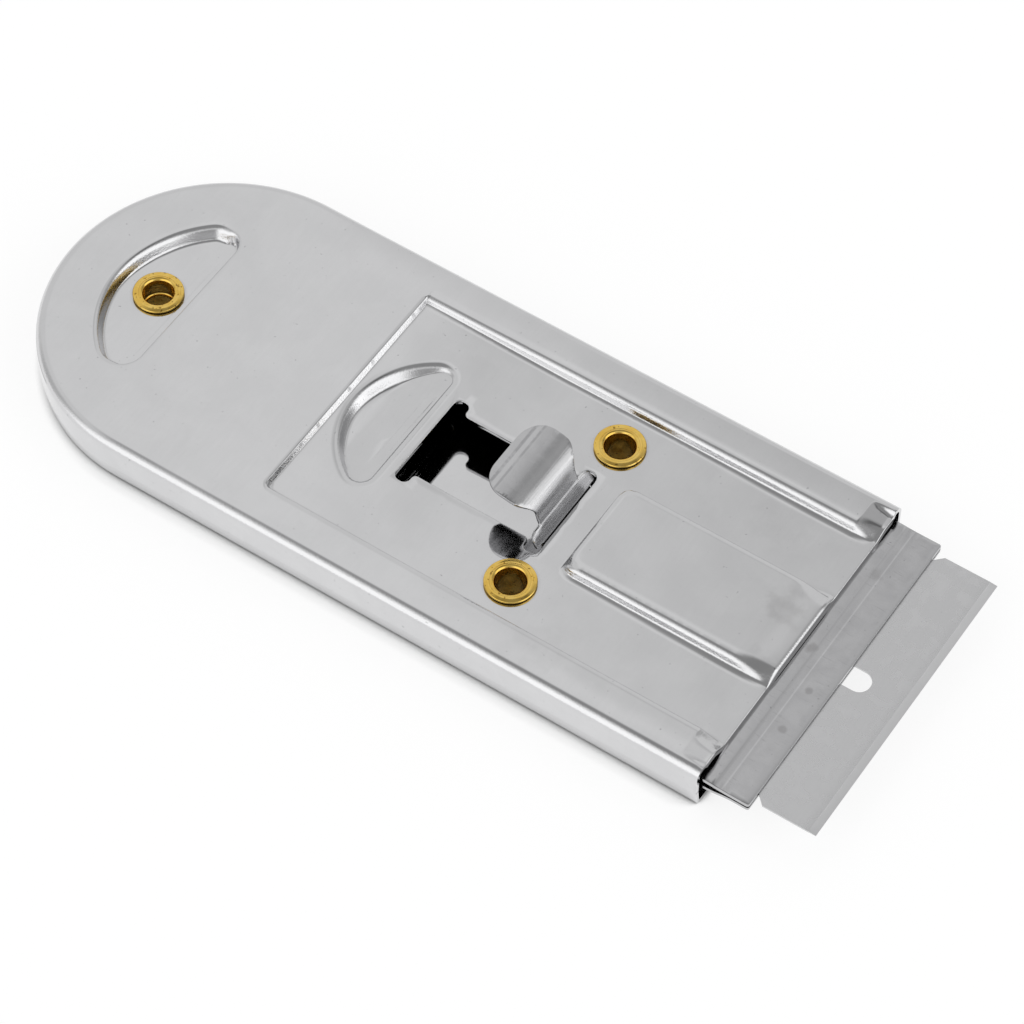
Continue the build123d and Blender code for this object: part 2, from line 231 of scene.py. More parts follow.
def cut_plan(outline, holes, rows, fill):
    """Triangles over an outline with holes: rows are lines to keep, fill is loose points."""
    points, edges = [], []
    for line, closed in [(outline, True)] + [(h, True) for h in holes] + rows:
        first = len(points)
        points.extend(line)
        count = len(line)
        edges.extend((first + i, first + i + 1) for i in range(count - 1))
        if closed:
            edges.append((first + count - 1, first))
    points.extend(fill)
    cut = geometry.delaunay_2d_cdt([Vector(p) for p in points], edges, [], 0, 1e-5)
    plan = np.array([tuple(p) for p in cut[0]])
    faces = np.array([tuple(f) for f in cut[2]])
    middles = plan[faces].mean(axis=1)
    keep = inside_loop(middles, outline)
    for hole in holes:
        keep &= ~inside_loop(middles, hole)
    faces = faces[keep]
    used, renumbered = np.unique(faces, return_inverse=True)
    return plan[used], renumbered.reshape(faces.shape)


def inside_loop(points, loop):
    """Which points lie inside a closed outline."""
    x, y = points[:, 0], points[:, 1]
    inside = np.zeros(len(points), bool)
    for (x0, y0), (x1, y1) in zip(loop, np.roll(loop, -1, axis=0)):
        if y0 == y1:
            continue
        inside ^= ((y0 > y) != (y1 > y)) & (x < (x1 - x0) * (y - y0) / (y1 - y0) + x0)
    return inside


def sheet_piece(name, plan, faces, outer, inner):
    """A closed piece of sheet: its plan is laid out twice, and the open edges are joined."""
    count = len(plan)
    corners = np.r_[outer, inner]
    area = np.cross(plan[faces[:, 1]] - plan[faces[:, 0]], plan[faces[:, 2]] - plan[faces[:, 0]])
    faces = np.where((area < 0)[:, None], faces[:, ::-1], faces)
    sides = np.concatenate([faces[:, [0, 1]], faces[:, [1, 2]], faces[:, [2, 0]]])
    there = {tuple(s) for s in sides.tolist()}
    rims = [(a, b) for a, b in there if (b, a) not in there]
    quads = [(b, a, a + count, b + count) for a, b in rims]
    every = faces.tolist() + (faces[:, ::-1] + count).tolist() + quads
    return piece_from(name, corners, every)


# The case's upper shell
RAMP_DEPTH, THUMB_DEPTH, HOLLOW_DEPTH = 1.2, 1.15, 1.45
# Flanks that face the near side are drawn broad, and all others tight
BROAD_RAMP = ramp_table(RAMP_DEPTH, [(8.0, 0, 6), (0.85, 6, 70), (0.25, 70, 18), (2.0, 18, 0)])
FRONT_RAMP = ramp_table(RAMP_DEPTH, [(8.0, 0, 6), (0.9, 6, 60), (0.35, 60, 18), (2.8, 18, 0)])
TIGHT_RAMP = ramp_table(RAMP_DEPTH, [(1.5, 0, 24), (0.26, 24, 78), (0.13, 78, 12), (0.6, 12, 0)])
REAR_RAMP = ramp_table(RAMP_DEPTH, [(0.9, 0, 24), (0.16, 24, 74), (0.12, 74, 12), (0.4, 12, 0)])
PANEL_SHALLOW, PANEL_CORNER, PAD_CORNER = 0.66, 1.5, 0.9
PANEL = dict(rear=-18.65, far=18.05, near=17.3)
PAD = dict(rear=X_FRONT - 27.05, far=6.0, near=5.3)
THUMB = dict(centre=X_FRONT - 53.0 + 3.15, radius=12.07, chord=X_FRONT - 52.3, corner=2.6)
HOLLOW = dict(centre=X_REAR + 22.5, radius=15.7, chord=X_REAR + 17.4, corner=3.2)
THUMB_BROAD = ramp_table(THUMB_DEPTH, [(4.0, 0, 6), (1.1, 6, 48), (0.7, 48, 12), (2.0, 12, 0)])
THUMB_TIGHT = ramp_table(THUMB_DEPTH, [(2.0, 0, 18), (0.6, 18, 56), (0.4, 56, 12), (0.8, 12, 0)])
HOLLOW_BROAD = ramp_table(HOLLOW_DEPTH, [(4.0, 0, 6), (1.0, 6, 60), (0.4, 60, 15), (1.3, 15, 0)])
HOLLOW_TIGHT = ramp_table(HOLLOW_DEPTH, [(1.2, 0, 24), (0.4, 24, 65), (0.25, 65, 12), (0.8, 12, 0)])
HOLLOW_CHORD = ramp_table(HOLLOW_DEPTH, [(0.25, 0, 78), (0.15, 78, 6), (0.5, 6, 0)])
THUMB_CHORD, THUMB_STEP, THUMB_FOOT = X_FRONT - 53.0, 0.26, 7.0
STRIP, STRIP_FLAT, PAD_FALL = 3.2, 0.5, 5.0
EDGE_FLOOR, EDGE_PAD, EDGE_FAR, EDGE_NEAR = 5.62, 6.4, 6.2, 6.66
PAD_ROLL = 0.55
CROWN = 0.06
TOP_RADIUS = 1.2
FLAT_HALF = HALF_WIDTH - TOP_RADIUS


def soft_share(value, low, high):
    """How far a value has come from one limit to the other, with soft ends."""
    share = np.clip((value - low) / (high - low), 0, 1)
    return share * share * (3 - 2 * share)


def rounded_most(shares):
    """The greatest of some shares, with the edge where two are equal rounded."""
    return np.minimum(sum(np.clip(s, 0, 1) ** 6 for s in shares) ** (1 / 6), 1)


def broad_ramp(into, x):
    """A broad flank's depth, softer towards the front."""
    front = soft_share(x, 16, 40)
    return ramp_depth(into, BROAD_RAMP) * (1 - front) + ramp_depth(into, FRONT_RAMP) * front


def round_corner(side_into, rear_into, side, rear, radius, way):
    """The depth in a rounded corner of the panel (way 1) or the pad (way -1): the two flanks are
    blended round it. Also where that corner lies."""
    a, b = radius - way * side_into, radius - way * rear_into
    there = (a > 0) & (b > 0)
    into = way * (radius - np.hypot(np.maximum(a, 0), np.maximum(b, 0)))
    share = b ** 2 / np.maximum(a ** 2 + b ** 2, 1e-9)
    return side(into) * (1 - share) + rear(into) * share, there


def panel_depth(x, y):
    """How deep the panel is sunk, from 0 outside it to its floor."""
    broad, tight = lambda d: broad_ramp(d, x), lambda d: ramp_depth(d, TIGHT_RAMP)
    heel = lambda d: ramp_depth(d, REAR_RAMP)
    far, near, rear = PANEL["far"] - y, PANEL["near"] + y, x - PANEL["rear"]
    shares = [1 - f / RAMP_DEPTH for f in (broad(far), tight(near), heel(rear))]
    depth = RAMP_DEPTH * (1 - rounded_most(shares))
    for into, side in ((far, broad), (near, tight)):
        bend, there = round_corner(into, rear, side, heel, PANEL_CORNER, 1)
        depth = np.where(there, np.minimum(depth, bend), depth)
    return depth * (PANEL_SHALLOW + (1 - PANEL_SHALLOW) * soft_share(x, PANEL["rear"], 4.0))


def pad_depth(x, y):
    """How deep the cover falls round the pad, from 0 on it to the panel's floor."""
    broad, tight = lambda d: broad_ramp(d, x), lambda d: ramp_depth(d, TIGHT_RAMP)
    far, near, rear = y - PAD["far"], -PAD["near"] - y, PAD["rear"] - x
    depth = RAMP_DEPTH * rounded_most([f / RAMP_DEPTH for f in (tight(far), broad(near), tight(rear))])
    for into, side in ((far, tight), (near, broad)):
        bend, there = round_corner(into, rear, side, tight, PAD_CORNER, -1)
        depth = np.where(there, np.maximum(depth, bend), depth)
    return depth


def half_round_depth(x, y, form, broad, tight, straight):
    """How deep a half round is sunk: its flank is broad on the far side, tight on the others, and
    has a section of its own along the chord."""
    into = into_half_round(x, y, **form)
    from_centre = np.hypot(x - form["centre"], y)
    share = soft_share(y / np.maximum(from_centre, 1e-9), -0.2, 0.45)
    past_arc = np.maximum(from_centre - form["radius"] + form["corner"], 0)
    past_chord = np.maximum(x - form["chord"] + form["corner"], 0)
    to_chord = past_chord ** 2 / np.maximum(past_chord ** 2 + past_arc ** 2, 1e-9)
    shares = ((1 - share) * (1 - to_chord), share * (1 - to_chord), to_chord)
    return blended_ramp(into, (tight, broad, straight), shares)


def towards_mouth(x, y):
    """The share of the front edge's own height: from a crease, and slowly along the pad."""
    crease = np.clip((x - X_FRONT + STRIP) / (STRIP - STRIP_FLAT), 0, 1)
    crease = np.where(crease < 0.1, crease ** 2 / 0.2, crease - 0.05) / 0.95
    slow = np.clip((x - X_FRONT + PAD_FALL) / (PAD_FALL - STRIP_FLAT), 0, 1) ** 1.6
    return crease + (slow - crease) * soft_share(9 - np.abs(y), 0, 2.5)


def rolled_edge(x, y):
    """How far the front edge is rolled down at its very end, over the pad."""
    past = np.clip(x - X_FRONT + PAD_ROLL, 0, PAD_ROLL)
    roll = PAD_ROLL - np.sqrt(PAD_ROLL ** 2 - past ** 2)
    return roll * soft_share(8 - np.abs(y), 0, 2.5)


def edge_height(y):
    """The height of the cover's front edge across the scraper."""
    edge = EDGE_FLOOR + (EDGE_PAD - EDGE_FLOOR) * soft_share(7.5 - np.abs(y), 0, 2.5)
    edge = edge + (EDGE_FAR - EDGE_FLOOR) * soft_share(y, 16.3, 18.6)
    return edge + (EDGE_NEAR - EDGE_FLOOR) * soft_share(-y, 16.3, 18.6)


def cover_level(x, y):
    """The height of the cover's outer face over its plan, inside the side's bend."""
    level = TOP - np.minimum(panel_depth(x, y), pad_depth(x, y))
    inside_sides = soft_share(FLAT_HALF - np.abs(y), 0, 0.7)
    level = level + (edge_height(y) - level) * towards_mouth(x, y) * inside_sides - rolled_edge(x, y)
    crown = CROWN * np.clip((np.abs(y) - 18.2) / (FLAT_HALF - 18.2), 0, 1) ** 2
    crown = crown * np.clip((x - X_ROUND) / 6, 0, 1)
    ramp = half_round_depth(x, y, THUMB, THUMB_BROAD, THUMB_TIGHT, THUMB_TIGHT)
    wedge = THUMB_STEP + THUMB_DEPTH * np.clip((THUMB_CHORD - x) / THUMB_FOOT, 0, None)
    thumb = soft_lower(ramp, wedge, 0.1)
    hollow = half_round_depth(x, y, HOLLOW, HOLLOW_BROAD, HOLLOW_TIGHT, HOLLOW_CHORD)
    return level - thumb - hollow - crown - sheet_waves(x, y)


def sheet_waves(x, y):
    """The pressed sheet's faint unevenness, gone at the mouth and the sides."""
    waves = (np.sin(0.31 * x + 0.17 * y + 1.3) + np.sin(0.23 * x - 0.38 * y)
             + 0.6 * np.sin(0.62 * x + 0.71 * y + 2.1) + 0.5 * np.sin(0.9 * x - 0.47 * y + 0.4))
    quiet = np.clip((X_FRONT - 1 - x) / 4, 0, 1) * np.clip((FLAT_HALF - np.abs(y)) / 3, 0, 1)
    return 0.005 * quiet * waves


def soft_lower(a, b, blend):
    """The lower of two heights with the edge between them rounded."""
    share = np.clip(0.5 + (b - a) / (2 * blend), 0, 1)
    return np.maximum(b * (1 - share) + a * share - blend * share * (1 - share), 0)


def fold_side(plan, level, radius, flat_half, lean, way, sheet):
    """Bends the plan's border round the case's side. The plan is flat up to flat_half from the
    middle line, and its border turns down (way -1) or up (way 1) to a wall."""
    x, y = plan[:, 0], plan[:, 1]
    behind = x < X_ROUND
    reach = np.where(behind, np.hypot(x - X_ROUND, y), np.abs(y))
    safe = np.maximum(reach, 1e-9)
    nx = np.where(behind, (x - X_ROUND) / safe, 0)
    ny = np.where(behind, y / safe, np.sign(y))
    past = np.maximum(reach - flat_half, 0)
    full = math.pi / 2 - lean
    turn = np.minimum(past / radius, full)
    wall = np.maximum(past - radius * full, 0)
    root_x = np.where(past > 0, x - nx * past, x)
    root_y = np.where(past > 0, y - ny * past, y)
    height = level(root_x, root_y)
    layers = []
    for bend, down in ((radius, 0), (radius - sheet, sheet)):
        out = bend * np.sin(turn) + wall * math.cos(full)
        fall = bend * (1 - np.cos(turn)) + wall * math.sin(full)
        layers.append(np.c_[root_x + nx * out, root_y + ny * out, height + way * (fall + down)])
    return layers


def stadium(reach):
    """The unrolled outline of a shell: straight sides to the front, a half round at the rear."""
    rear = arc_points((X_ROUND, 0), reach, 90, 270, OUTLINE_STEP)
    near = line_points((X_ROUND, -reach), (X_FRONT, -reach), OUTLINE_STEP)
    front = line_points((X_FRONT, -reach), (X_FRONT, reach), OUTLINE_STEP)
    far = line_points((X_FRONT, reach), (X_ROUND, reach), OUTLINE_STEP)
    return np.r_[rear, near[1:], front[1:], far[1:-1]]


def open_stadiums(reaches):
    """Rows along the same outline, without its front edge."""
    rows = []
    for reach in reaches:
        rear = arc_points((X_ROUND, 0), reach, 90, 270, OUTLINE_STEP)
        near = line_points((X_ROUND, -reach), (X_FRONT, -reach), OUTLINE_STEP)
        far = line_points((X_FRONT, reach), (X_ROUND, reach), OUTLINE_STEP)
        rows.append((np.r_[far[:-1], rear, near[1:]], False))
    return rows


def flank_rows(form, way, step):
    """Lines along the flanks of the panel (way 1) or the pad (way -1)."""
    broad, tight = way * ramp_rows(BROAD_RAMP, FRONT_RAMP), way * ramp_rows(TIGHT_RAMP)
    at_far, at_near = (broad, tight) if way > 0 else (tight, broad)
    across = ramp_rows(REAR_RAMP) if way > 0 else tight
    heel, front = form["rear"] + min(0, across[-1]), X_FRONT - 0.02
    sides = [form["far"] - d for d in at_far] + [-form["near"] + d for d in at_near]
    rows = [line_points((heel, y), (front, y), step) for y in sides]
    rows += [line_points((form["rear"] + d, min(sides)), (form["rear"] + d, max(sides)), step)
             for d in across]
    return [(row, False) for row in rows]


def loose_points(half, step, seed):
    """A slightly shaken grid of points over a shell's flat part."""
    shake = np.random.default_rng(seed)
    xs = np.arange(X_REAR + 1 + step / 2, X_FRONT - 1, step)
    ys = np.arange(-half + step / 2, half, step)
    grid = np.array([(x, y) for x in xs for y in ys])
    grid = grid + shake.uniform(-0.12, 0.12, grid.shape) * step
    x, y = grid.T
    return grid[np.where(x < X_ROUND, np.hypot(x - X_ROUND, y), np.abs(y)) < half - 0.8]


def slot_loop(inset=0.0):
    """The lever's slot: a channel with a cross slot at each end, or a line just outside it."""
    cross, wide, narrow = 0.95 + inset, 6.75 + inset, 5.1 + inset
    front, rear = X_LATCH, X_LATCH - TRAVEL
    corners = [(front + cross, -wide), (front + cross, wide), (front - cross, wide),
               (front - cross, narrow), (rear + cross, narrow), (rear + cross, wide),
               (rear - cross, wide), (rear - cross, -wide), (rear + cross, -wide),
               (rear + cross, -narrow), (front - cross, -narrow), (front - cross, -wide)]
    outer, inner = 0.85 + inset, 0.6 - inset
    radii = [outer, outer, outer, inner, inner, outer, outer, outer, outer, inner, inner, outer]
    return spread_along(rounded_loop(corners, radii, 0.1), 0.6)


RIM_STEPS = np.array([0.03, 0.07, 0.12])
MOUTH_BURR, MOUTH_BURR_REACH, MOUTH_BURR_HALF = 0.42, 0.36, 20.3
# How far behind the front edge the cover needs rows of points for its strip and its roll
MOUTH_ROWS = [5.0, 4.6, 4.2, 3.7, 3.35, 3.2, 3.13, 3.06, 2.99, 2.92, 2.75, 2.3, 1.8, 1.3, 0.8, 0.55,
              0.46, 0.38, 0.3, 0.24, 0.18, *RIM_STEPS]


def soften_rims(plan, layer, loops, radius):
    """Rounds a sheet's punched rims: the layer's points near a loop drop."""
    nearest = np.full(len(plan), 9.0)
    for loop, closed in loops:
        starts = loop if closed else loop[:-1]
        ends = np.roll(loop, -1, axis=0) if closed else loop[1:]
        near = inside_box(plan, loop, radius)
        here = plan[near]
        for a, b in zip(starts, ends):
            span = b - a
            share = np.clip(((here - a) @ span) / max(span @ span, 1e-12), 0, 1)
            gap = np.hypot(*(here - a - share[:, None] * span).T)
            nearest[near] = np.minimum(nearest[near], gap)
    past = np.clip(radius - nearest, 0, radius)
    out = layer.copy()
    out[:, 2] -= radius - np.sqrt(radius ** 2 - past ** 2)
    return out


def inside_box(points, loop, margin):
    """Which points lie in the loop's box with a margin."""
    low, high = loop.min(axis=0) - margin, loop.max(axis=0) + margin
    return np.flatnonzero(((points >= low) & (points <= high)).all(axis=1))


def make_cover():
    """The upper shell: sunk panel, raised pad, thumb rest, rear hollow and rolled sides."""
    quarter = TOP_RADIUS * math.pi / 2
    wall = TOP - TOP_RADIUS - SEAM
    reach = FLAT_HALF + quarter + wall
    rows = open_stadiums(FLAT_HALF + quarter * np.linspace(-0.2, 1, 17))
    rows += open_stadiums(FLAT_HALF - np.array([0.9, 1.5, 2.1, 2.7]))
    rows += open_stadiums(FLAT_HALF + quarter + wall * np.array([0.3, 0.6, 0.85]))
    rows += open_stadiums([reach - 0.1, reach - 0.05])
    rows += flank_rows(PANEL, 1, 0.7) + flank_rows(PAD, -1, 0.7)
    for form, ramps in ((HOLLOW, (HOLLOW_BROAD, HOLLOW_TIGHT, HOLLOW_CHORD)),
                        (THUMB, (THUMB_BROAD, THUMB_TIGHT))):
        for inset in ramp_rows(*ramps):
            rows.append((half_round_loop(inset=inset, step=0.35, **form), True))
    rows += [across(X_FRONT - gap, FLAT_HALF, 0.5) for gap in MOUTH_ROWS]
    rows += [(slot_loop(gap), True) for gap in RIM_STEPS]
    slot = slot_loop()
    holes = [slot] + [circle_points(place, 2.3, 40) for place in PLACES]
    plan, faces = cut_plan(stadium(reach), holes, rows, loose_points(FLAT_HALF, 1.1, 4))
    outer, inner = fold_side(plan, cover_level, TOP_RADIUS, FLAT_HALF, 0, -1, SHEET)
    mouth = line_points((X_FRONT, -FLAT_HALF), (X_FRONT, FLAT_HALF), 1.0)
    outer = soften_rims(plan, outer, [(slot, True), (mouth, False)], RIM_STEPS[-1])
    burr = np.clip((plan[:, 0] - X_FRONT + MOUTH_BURR_REACH) / 0.24, 0, 1)
    burr = burr * (np.abs(plan[:, 1]) < MOUTH_BURR_HALF)
    inner[:, 2] -= MOUTH_BURR * burr
    return sheet_piece("cover", plan, faces, outer, inner)


cover = make_cover()
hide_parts("top_cover")
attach(cover, "case")


# The case's lower shell
BASE_RADIUS = 1.0
LEAN = math.radians(8)
POCKET_RADIUS = 4.6
POCKET_RAMP = ramp_table(0.62, [(0.35, 0, 60), (0.3, 60, 0)])
FOOT_HALF = HALF_WIDTH - SEAM * math.tan(LEAN) - BASE_RADIUS * math.tan((math.pi / 2 - LEAN) / 2)


def shell_level(x, y):
    """The height of the lower shell's outer face: flat, with a pocket round each eyelet's foot."""
    level = np.zeros_like(x)
    for px, py in PLACES:
        into = POCKET_RADIUS - np.hypot(x - px, y - py)
        level = level + ramp_depth(into, POCKET_RAMP)
    return level


def make_shell():
    """The lower shell: a shallow tray whose sides lean out to the seam."""
    bend = BASE_RADIUS * (math.pi / 2 - LEAN)
    wall = SEAM / math.cos(LEAN) - BASE_RADIUS * math.tan((math.pi / 2 - LEAN) / 2)
    rows = open_stadiums(FOOT_HALF + bend * np.linspace(-0.2, 1, 11))
    rows += open_stadiums(FOOT_HALF + bend + wall * np.array([0.3, 0.6, 0.9]))
    for place in PLACES:
        for inset in ramp_rows(POCKET_RAMP):
            rows.append((circle_points(place, POCKET_RADIUS - inset, 72), True))
    holes = [circle_points(place, 2.25, 40) for place in PLACES]
    outline = stadium(FOOT_HALF + bend + wall)
    plan, faces = cut_plan(outline, holes, rows, loose_points(FOOT_HALF, 1.6, 5))
    outer, inner = fold_side(plan, shell_level, BASE_RADIUS, FOOT_HALF, LEAN, 1, SHEET)
    return sheet_piece("lower_tray", plan, faces, outer, inner)


tray = make_shell()
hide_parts("bottom_shell")
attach(tray, "case")


# Turned and bent pieces
def turned_piece(name, profile, place):
    """A ring turned about an upright axis from a closed profile of radii and heights."""
    count = 96
    angles = np.linspace(0, 2 * math.pi, count, endpoint=False)
    points = [(place[0] + r * math.cos(a), place[1] + r * math.sin(a), z)
              for a in angles for r, z in profile]
    rows = len(profile)
    faces = []
    for i in range(count):
        for j in range(rows):
            a, b = i * rows + j, i * rows + (j + 1) % rows
            c, d = ((i + 1) % count) * rows + (j + 1) % rows, ((i + 1) % count) * rows + j
            faces.append((d, c, b, a))
    return piece_from(name, points, faces)


def make_eyelet(name, node, place, seat, stepped):
    """A brass eyelet: a domed flange a little off its seat, a throat, a barrel and a rolled foot."""
    brim = arc_points((2.94, seat + 0.32), 0.17, -100, 70, 0.02)
    dome = np.array([(2.84, seat + 0.505), (2.74, seat + 0.54), (2.62, seat + 0.56), (2.5, seat + 0.565),
                     (2.38, seat + 0.55)])
    throat = arc_points((2.28, seat + 0.09), 0.45, 72, 178, 0.04)
    bore = np.zeros((0, 2))
    if stepped:
        bore = np.array([(1.83, 4.35), (1.86, 4.2), (2.04, 4.02), (2.06, 3.7), (2.06, 3.2), (2.04, 3.12),
                         (1.9, 3.04), (1.84, 2.92), (1.83, 2.7)])
    foot = arc_points((2.28, 0.6), 0.45, 182, 270, 0.04)
    heel = arc_points((2.72, 0.33), 0.18, -60, 90, 0.03)
    under = np.array([(2.2, 0.62), (2.2, seat), (2.6, seat), (2.7, seat + 0.12)])
    profile = np.r_[brim, dome, throat, bore, foot, heel, under]
    eyelet = turned_piece(name, profile, place)
    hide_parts(node)
    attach(eyelet, "case")
    return eyelet


hang_ring = make_eyelet("hang_ring", "hang_eyelet", (X_HANG, 0), HOLLOW_FLOOR, True)
left_ring = make_eyelet("left_guide_ring", "left_guide_eyelet", PLACES[0], PANEL_FLOOR, False)
right_ring = make_eyelet("right_guide_ring", "right_guide_eyelet", PLACES[1], PANEL_FLOOR, False)


def bent_line(corners, radii, step):
    """An open line with rounded corners."""
    bends = [rounded_corner(*places, radius, step, 4, 0)
             for *places, radius in zip(corners, corners[1:], corners[2:], radii)]
    return np.concatenate([corners[:1], *bends, corners[-1:]])


LEVER_SHEET = 0.45
LEAF_HALF, EAR_HALF, EAR_ROUND, NECK_HALF, NECK_SWELL = 4.9, 5.95, 1.1, 3.93, 1.72
PADDLE_HALF, TIP_HALF, TIP_LENGTH = 5.7, 2.2, 3.3
RIVET_X, RIVET_SIDE = 37.3, 3.2
LEAF = [(39.0, 4.15), (12.85, 4.15), (12.58, 5.72), (11.66, 7.3), (11.3, 8.9)]
PADDLE = np.array([(11.5, 7.75), (11.33, 8.2), (11.2, 8.75), (11.03, 9.4), (10.77, 10.05), (10.38, 10.62),
                   (9.78, 11.12), (8.85, 11.52), (7.6, 11.8), (6.3, 11.93), (5.2, 11.92), (4.1, 11.76)])


def smooth_line(points, step):
    """A smooth curve through points, as even steps along it."""
    ends = np.r_[[2 * points[0] - points[1]], points, [2 * points[-1] - points[-2]]]
    out = []
    for a, b, c, d in zip(ends, ends[1:], ends[2:], ends[3:]):
        count = max(2, int(math.dist(b, c) / step))
        t = np.linspace(0, 1, count, endpoint=False)[:, None]
        out.append(0.5 * (2 * b + (c - a) * t + (2 * a - 5 * b + 4 * c - d) * t ** 2
                          + (3 * b - a - 3 * c + d) * t ** 3))
    return np.r_[np.concatenate(out), points[-1:]]


def lever_centre_line():
    """The lever's outer face from the side: a bent leaf and riser, then a broadly curled paddle."""
    leaf = bent_line(LEAF, [0.5, 0.5, 0.3], 0.08)
    leaf = leaf[leaf[:, 1] < PADDLE[0][1] - 0.1]
    points = np.r_[leaf, smooth_line(PADDLE, 0.3)]
    for _ in range(6):
        middle = (points[:-2] + 2 * points[1:-1] + points[2:]) / 4
        bends = (points[1:-1, 1] > 8.1)[:, None]
        points[1:-1] = np.where(bends, middle, points[1:-1])
    return points, np.r_[0, np.cumsum(np.hypot(*np.diff(points, axis=0).T))]


def distance_at(points, along, height):
    """How far along the line the riser first reaches a height."""
    return along[next(i for i, p in enumerate(points) if p[0] < 14 and p[1] > height)]


def make_lever():
    """The lever: a leaf inside the case, a riser with two ears, a neck and a curled paddle."""
    points, along = lever_centre_line()
    dense = np.linspace(0, along[-1], 1600)
    line = np.c_[np.interp(dense, along, points[:, 0]), np.interp(dense, along, points[:, 1])]
    foot, shoulder = distance_at(line, dense, 5.7), distance_at(line, dense, 7.32)
    flare, brow = distance_at(line, dense, 8.9), distance_at(line, dense, 11.5)
    end = along[-1]
    ear = arc_points((shoulder - EAR_ROUND, EAR_HALF - EAR_ROUND), EAR_ROUND, 90, 0, 0.1)
    side = np.r_[[(0, LEAF_HALF), (foot, LEAF_HALF), (foot, EAR_HALF)], ear,
                 [(shoulder, NECK_HALF), (flare, NECK_HALF)]]
    t = np.linspace(0, 1, 16)[1:]
    side = np.r_[side, np.c_[flare + (brow - flare) * t, NECK_HALF + NECK_SWELL * soft_share(t, 0, 1)]]
    bend = arc_points((0.0, 0.0), 1.0, 90, 0, 0.05)
    tip = np.c_[end - TIP_LENGTH * (1 - bend[:, 0] ** 0.9),
                TIP_HALF + (PADDLE_HALF - TIP_HALF) * bend[:, 1]]
    side = np.r_[side, [(end - 4.4, PADDLE_HALF)], tip]
    outline = spread_along(np.r_[side, side[::-1] * [1, -1]], 0.4)
    rows = [across(s, np.interp(s, side[:, 0], side[:, 1]) - 0.16, 0.5) for s in along[1:-1]]
    fill = np.array([(s, y) for s in np.arange(0.7, end, 0.7) for y in np.arange(-5.4, 5.5, 0.6)])
    fill = fill[inside_loop(fill, outline)]
    rows += [(inset_loop(outline, gap), True) for gap in (0.05, 0.12)]
    holes = [circle_points((LEAF[0][0] - RIVET_X, y), 0.92, 24) for y in (RIVET_SIDE, -RIVET_SIDE)]
    plan, faces = cut_plan(outline, holes, rows, fill)
    headings = np.diff(points, axis=0)
    headings /= np.linalg.norm(headings, axis=1)[:, None]
    at_points = np.r_[headings[:1], headings[:-1] + headings[1:], headings[-1:]]
    x, z, hx, hz = (np.interp(plan[:, 0], along, column) for column in (*points.T, *at_points.T))
    size = np.hypot(hx, hz)
    nx, nz = -hz / size, hx / size
    edge = rim_depth(plan, outline, 0.12)
    upper = np.c_[x + nx * edge, plan[:, 1], z + nz * edge]
    lower = np.c_[x + nx * (LEVER_SHEET - edge), plan[:, 1], z + nz * (LEVER_SHEET - edge)]
    return sheet_piece("lever_strip", plan, faces, upper, lower)


def inset_loop(loop, gap):
    """An outline drawn in by a gap, corner by corner."""
    before, after = loop - np.roll(loop, 1, axis=0), np.roll(loop, -1, axis=0) - loop
    before = before / np.linalg.norm(before, axis=1)[:, None]
    after = after / np.linalg.norm(after, axis=1)[:, None]
    along = before + after
    along /= np.linalg.norm(along, axis=1)[:, None]
    x, y = loop.T
    turned = np.sign(np.sum(x * np.roll(y, -1) - y * np.roll(x, -1)))
    return loop + gap * turned * np.c_[-along[:, 1], along[:, 0]]


def rim_depth(plan, loop, radius):
    """How far a rounded rim falls away at each point of the plan."""
    flat = np.zeros((len(plan), 3))
    return -soften_rims(plan, flat, [(loop, True)], radius)[:, 2]


lever = make_lever()
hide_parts("thumb_lever")
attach(lever, "lever")


# The jaws and the blade
def flat_piece(name, outline, holes, rows, step, over, under, rim=0.0):
    """A piece of plate over a plan, with its upper and lower faces at given heights."""
    low, high = outline.min(axis=0), outline.max(axis=0)
    fill = np.array([(x, y) for x in np.arange(low[0] + step / 2, high[0], step)
                     for y in np.arange(low[1] + step / 2, high[1], step)])
    fill = fill[inside_loop(fill, outline)]
    plan, faces = cut_plan(outline, holes, rows, fill)
    upper = np.c_[plan, over(plan[:, 0], plan[:, 1])]
    lower = np.c_[plan, under(plan[:, 0], plan[:, 1])]
    if rim:
        upper = soften_rims(plan, upper, [(outline, True)], rim)
    return sheet_piece(name, plan, faces, upper, lower)


JAW_HALF, JAW_SHEET = 21.1, 0.4
X_LIP = 50.3
UPPER_JAW_X = [0, 45.3, 45.5, 45.7, 46.0, 46.1, 46.2, 46.55, 46.7, 46.8, 46.9, 47.1, 47.3, 47.5, 60]
UPPER_JAW_Z = [4.355, 4.355, 4.345, 4.32, 4.275, 4.268, 4.262, 4.235, 4.232, 4.25, 4.245, 4.228, 4.225,
               4.225, 4.225]
LOWER_JAW_X = [0, 45.4, 45.8, 47.1, 47.5, 60]
LOWER_JAW_Z = [3.5, 3.5, 3.59, 3.885, 3.975, 3.975]
RIVET_HOLES = [circle_points((RIVET_X, side * RIVET_SIDE), 0.8, 24) for side in (1, -1)]
UPPER_JAW_REAR, LEAF_NOTCH_END, LEAF_NOTCH_HALF = 7.8, 14.8, 7.2
EYELET_SLOT_REAR, EYELET_SLOT_FRONT, EYELET_SLOT_HALF = 10.15, 32.7, 2.25
LOWER_JAW_REAR, JAW_CORNER = 35.6, 0.3


def upper_jaw_level(x, y):
    """The underside of the upper jaw: flat, then a shallow groove and a fine crease to the lip."""
    return np.interp(x, UPPER_JAW_X, UPPER_JAW_Z)


def lower_jaw_level(x, y):
    """The upper face of the lower jaw, stepped up to the lip."""
    return np.interp(x, LOWER_JAW_X, LOWER_JAW_Z)


